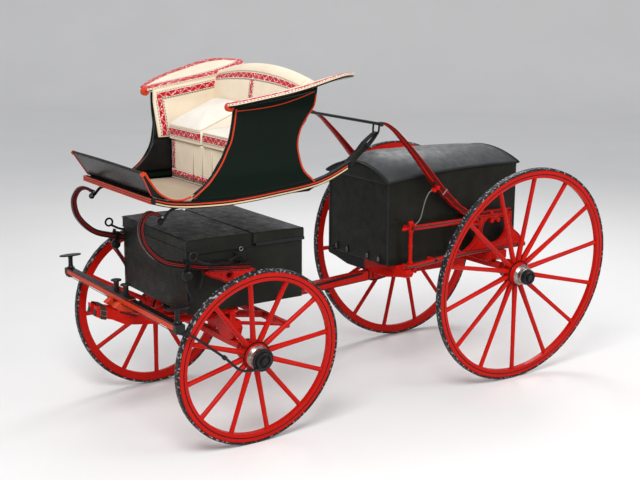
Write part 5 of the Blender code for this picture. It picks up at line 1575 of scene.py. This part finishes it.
def build_step(side_name, side):
    out = 0.475
    arm = smooth_path(placed([(out + 0.010, -2.295, 1.222), (out + 0.034, -2.320, 1.232),
                              (out + 0.110, -2.430, 1.2345), (out + 0.146, -2.540, 1.2335),
                              (out + 0.160, -2.640, 1.246), (out + 0.166, -2.705, 1.278)], side), 5)
    parts = [rod("step_arm", arm, 0.0085, "black_iron", 12, (0, 0, 1))]
    centre = Vector((side * (out + 0.1485), HIND_Y - 2.530, 1.2420))
    oval = [(0.0480 * math.copysign(abs(math.cos(a)) ** 0.7, math.cos(a)),
             0.0760 * math.copysign(abs(math.sin(a)) ** 0.7, math.sin(a))) for a in circle(40)]
    levels = ((-0.0035, 0.95), (-0.0018, 1.0), (0.0018, 1.0), (0.0035, 0.96))
    parts.append(sweep("tread", [centre + Vector((0, 0, z)) for z, size in levels], oval, "black_iron",
                       scale=[(size, size) for z, size in levels]))
    for k in range(-4, 5):
        low = centre + Vector((-0.034, 0.0145 * k, 0.0042))
        parts.append(rod("tread_rib", [low, low + Vector((0.068, 0, 0))], 0.0016, "black_iron", 6, ALONG))
    ring = side_view(side * (out + 0.166), [(-2.726 + 0.0270 * math.cos(a), 1.3030 + 0.0270 * math.sin(a))
                                            for a in circle(24)])
    parts.append(sweep("step_ring", ring, round_section(0.0072, 10), "black_iron", closed=True))
    palm = side_view(side * (out + 0.0070), ((-2.335, 1.221), (-2.255, 1.221)))
    parts.append(slab("step_palm", palm, (0.012, 0.064, 0.003), "black_iron"))
    for y in (-2.318, -2.272):
        x0 = side * (out + 0.0120)
        x1 = side * (out + 0.0185)
        parts.append(round_pin(x0, x1, y, 1.2080, 0.0085, "black_iron", 6))
    joined("step_" + side_name + "_iron", parts, "carriage", "step_" + side_name)


for step_side, step_sign in SIDES:
    build_step(step_side, step_sign)


# braces: doubled leather round the shackle, with keepers and a sleeve at the rocker

def build_brace(side_name, side):
    low = Vector((side * 0.461, HIND_Y - 1.402, 1.7650))
    high = Vector((side * 0.461, HIND_Y - 1.1705, 1.9600))
    along = (high - low).normalized()
    across = Vector((0, -along.z, along.y))
    reach = (high - low).length
    gaps = ((0.010, 0.010), (0.060, 0.014), (0.110, 0.013), (0.160, 0.019), (0.210, 0.020), (0.250, 0.017),
            (0.285, 0.0130))
    upper = [low + along * t + across * gap for t, gap in gaps]
    lower = [low + along * t - across * gap for t, gap in reversed(gaps)]
    loop = closed_curve(upper + [low + along * (reach + 0.0125)] + lower + [low], 4)
    widths = [1.0 - 0.16 * clipped(((p - low).dot(along) - 0.200) / 0.060) for p in loop]
    parts = [slab("strap", loop, (0.050, 0.008, 0.002), "leather", closed=True,
                  scale=[(width, 1.0) for width in widths]),
             slab("filling", [low, low + along * 0.190], (0.044, 0.024, 0.004), "leather")]
    for start, end, width, height in ((0.000, 0.052, 0.060, 0.040), (0.098, 0.116, 0.057, 0.041),
                                      (0.176, 0.194, 0.057, 0.052)):
        steps = [low + along * (start + (end - start) * k / 3) for k in range(4)]
        parts.append(slab("keeper", steps, (width, height, 0.005), "leather",
                          scale=[(0.96, 0.94), (1.0, 1.0), (1.0, 1.0), (0.96, 0.94)]))
    joined("brace_leather_" + side_name, parts, "seat_body", "brace_" + side_name)


for brace_side, brace_sign in SIDES:
    build_brace(brace_side, brace_sign)
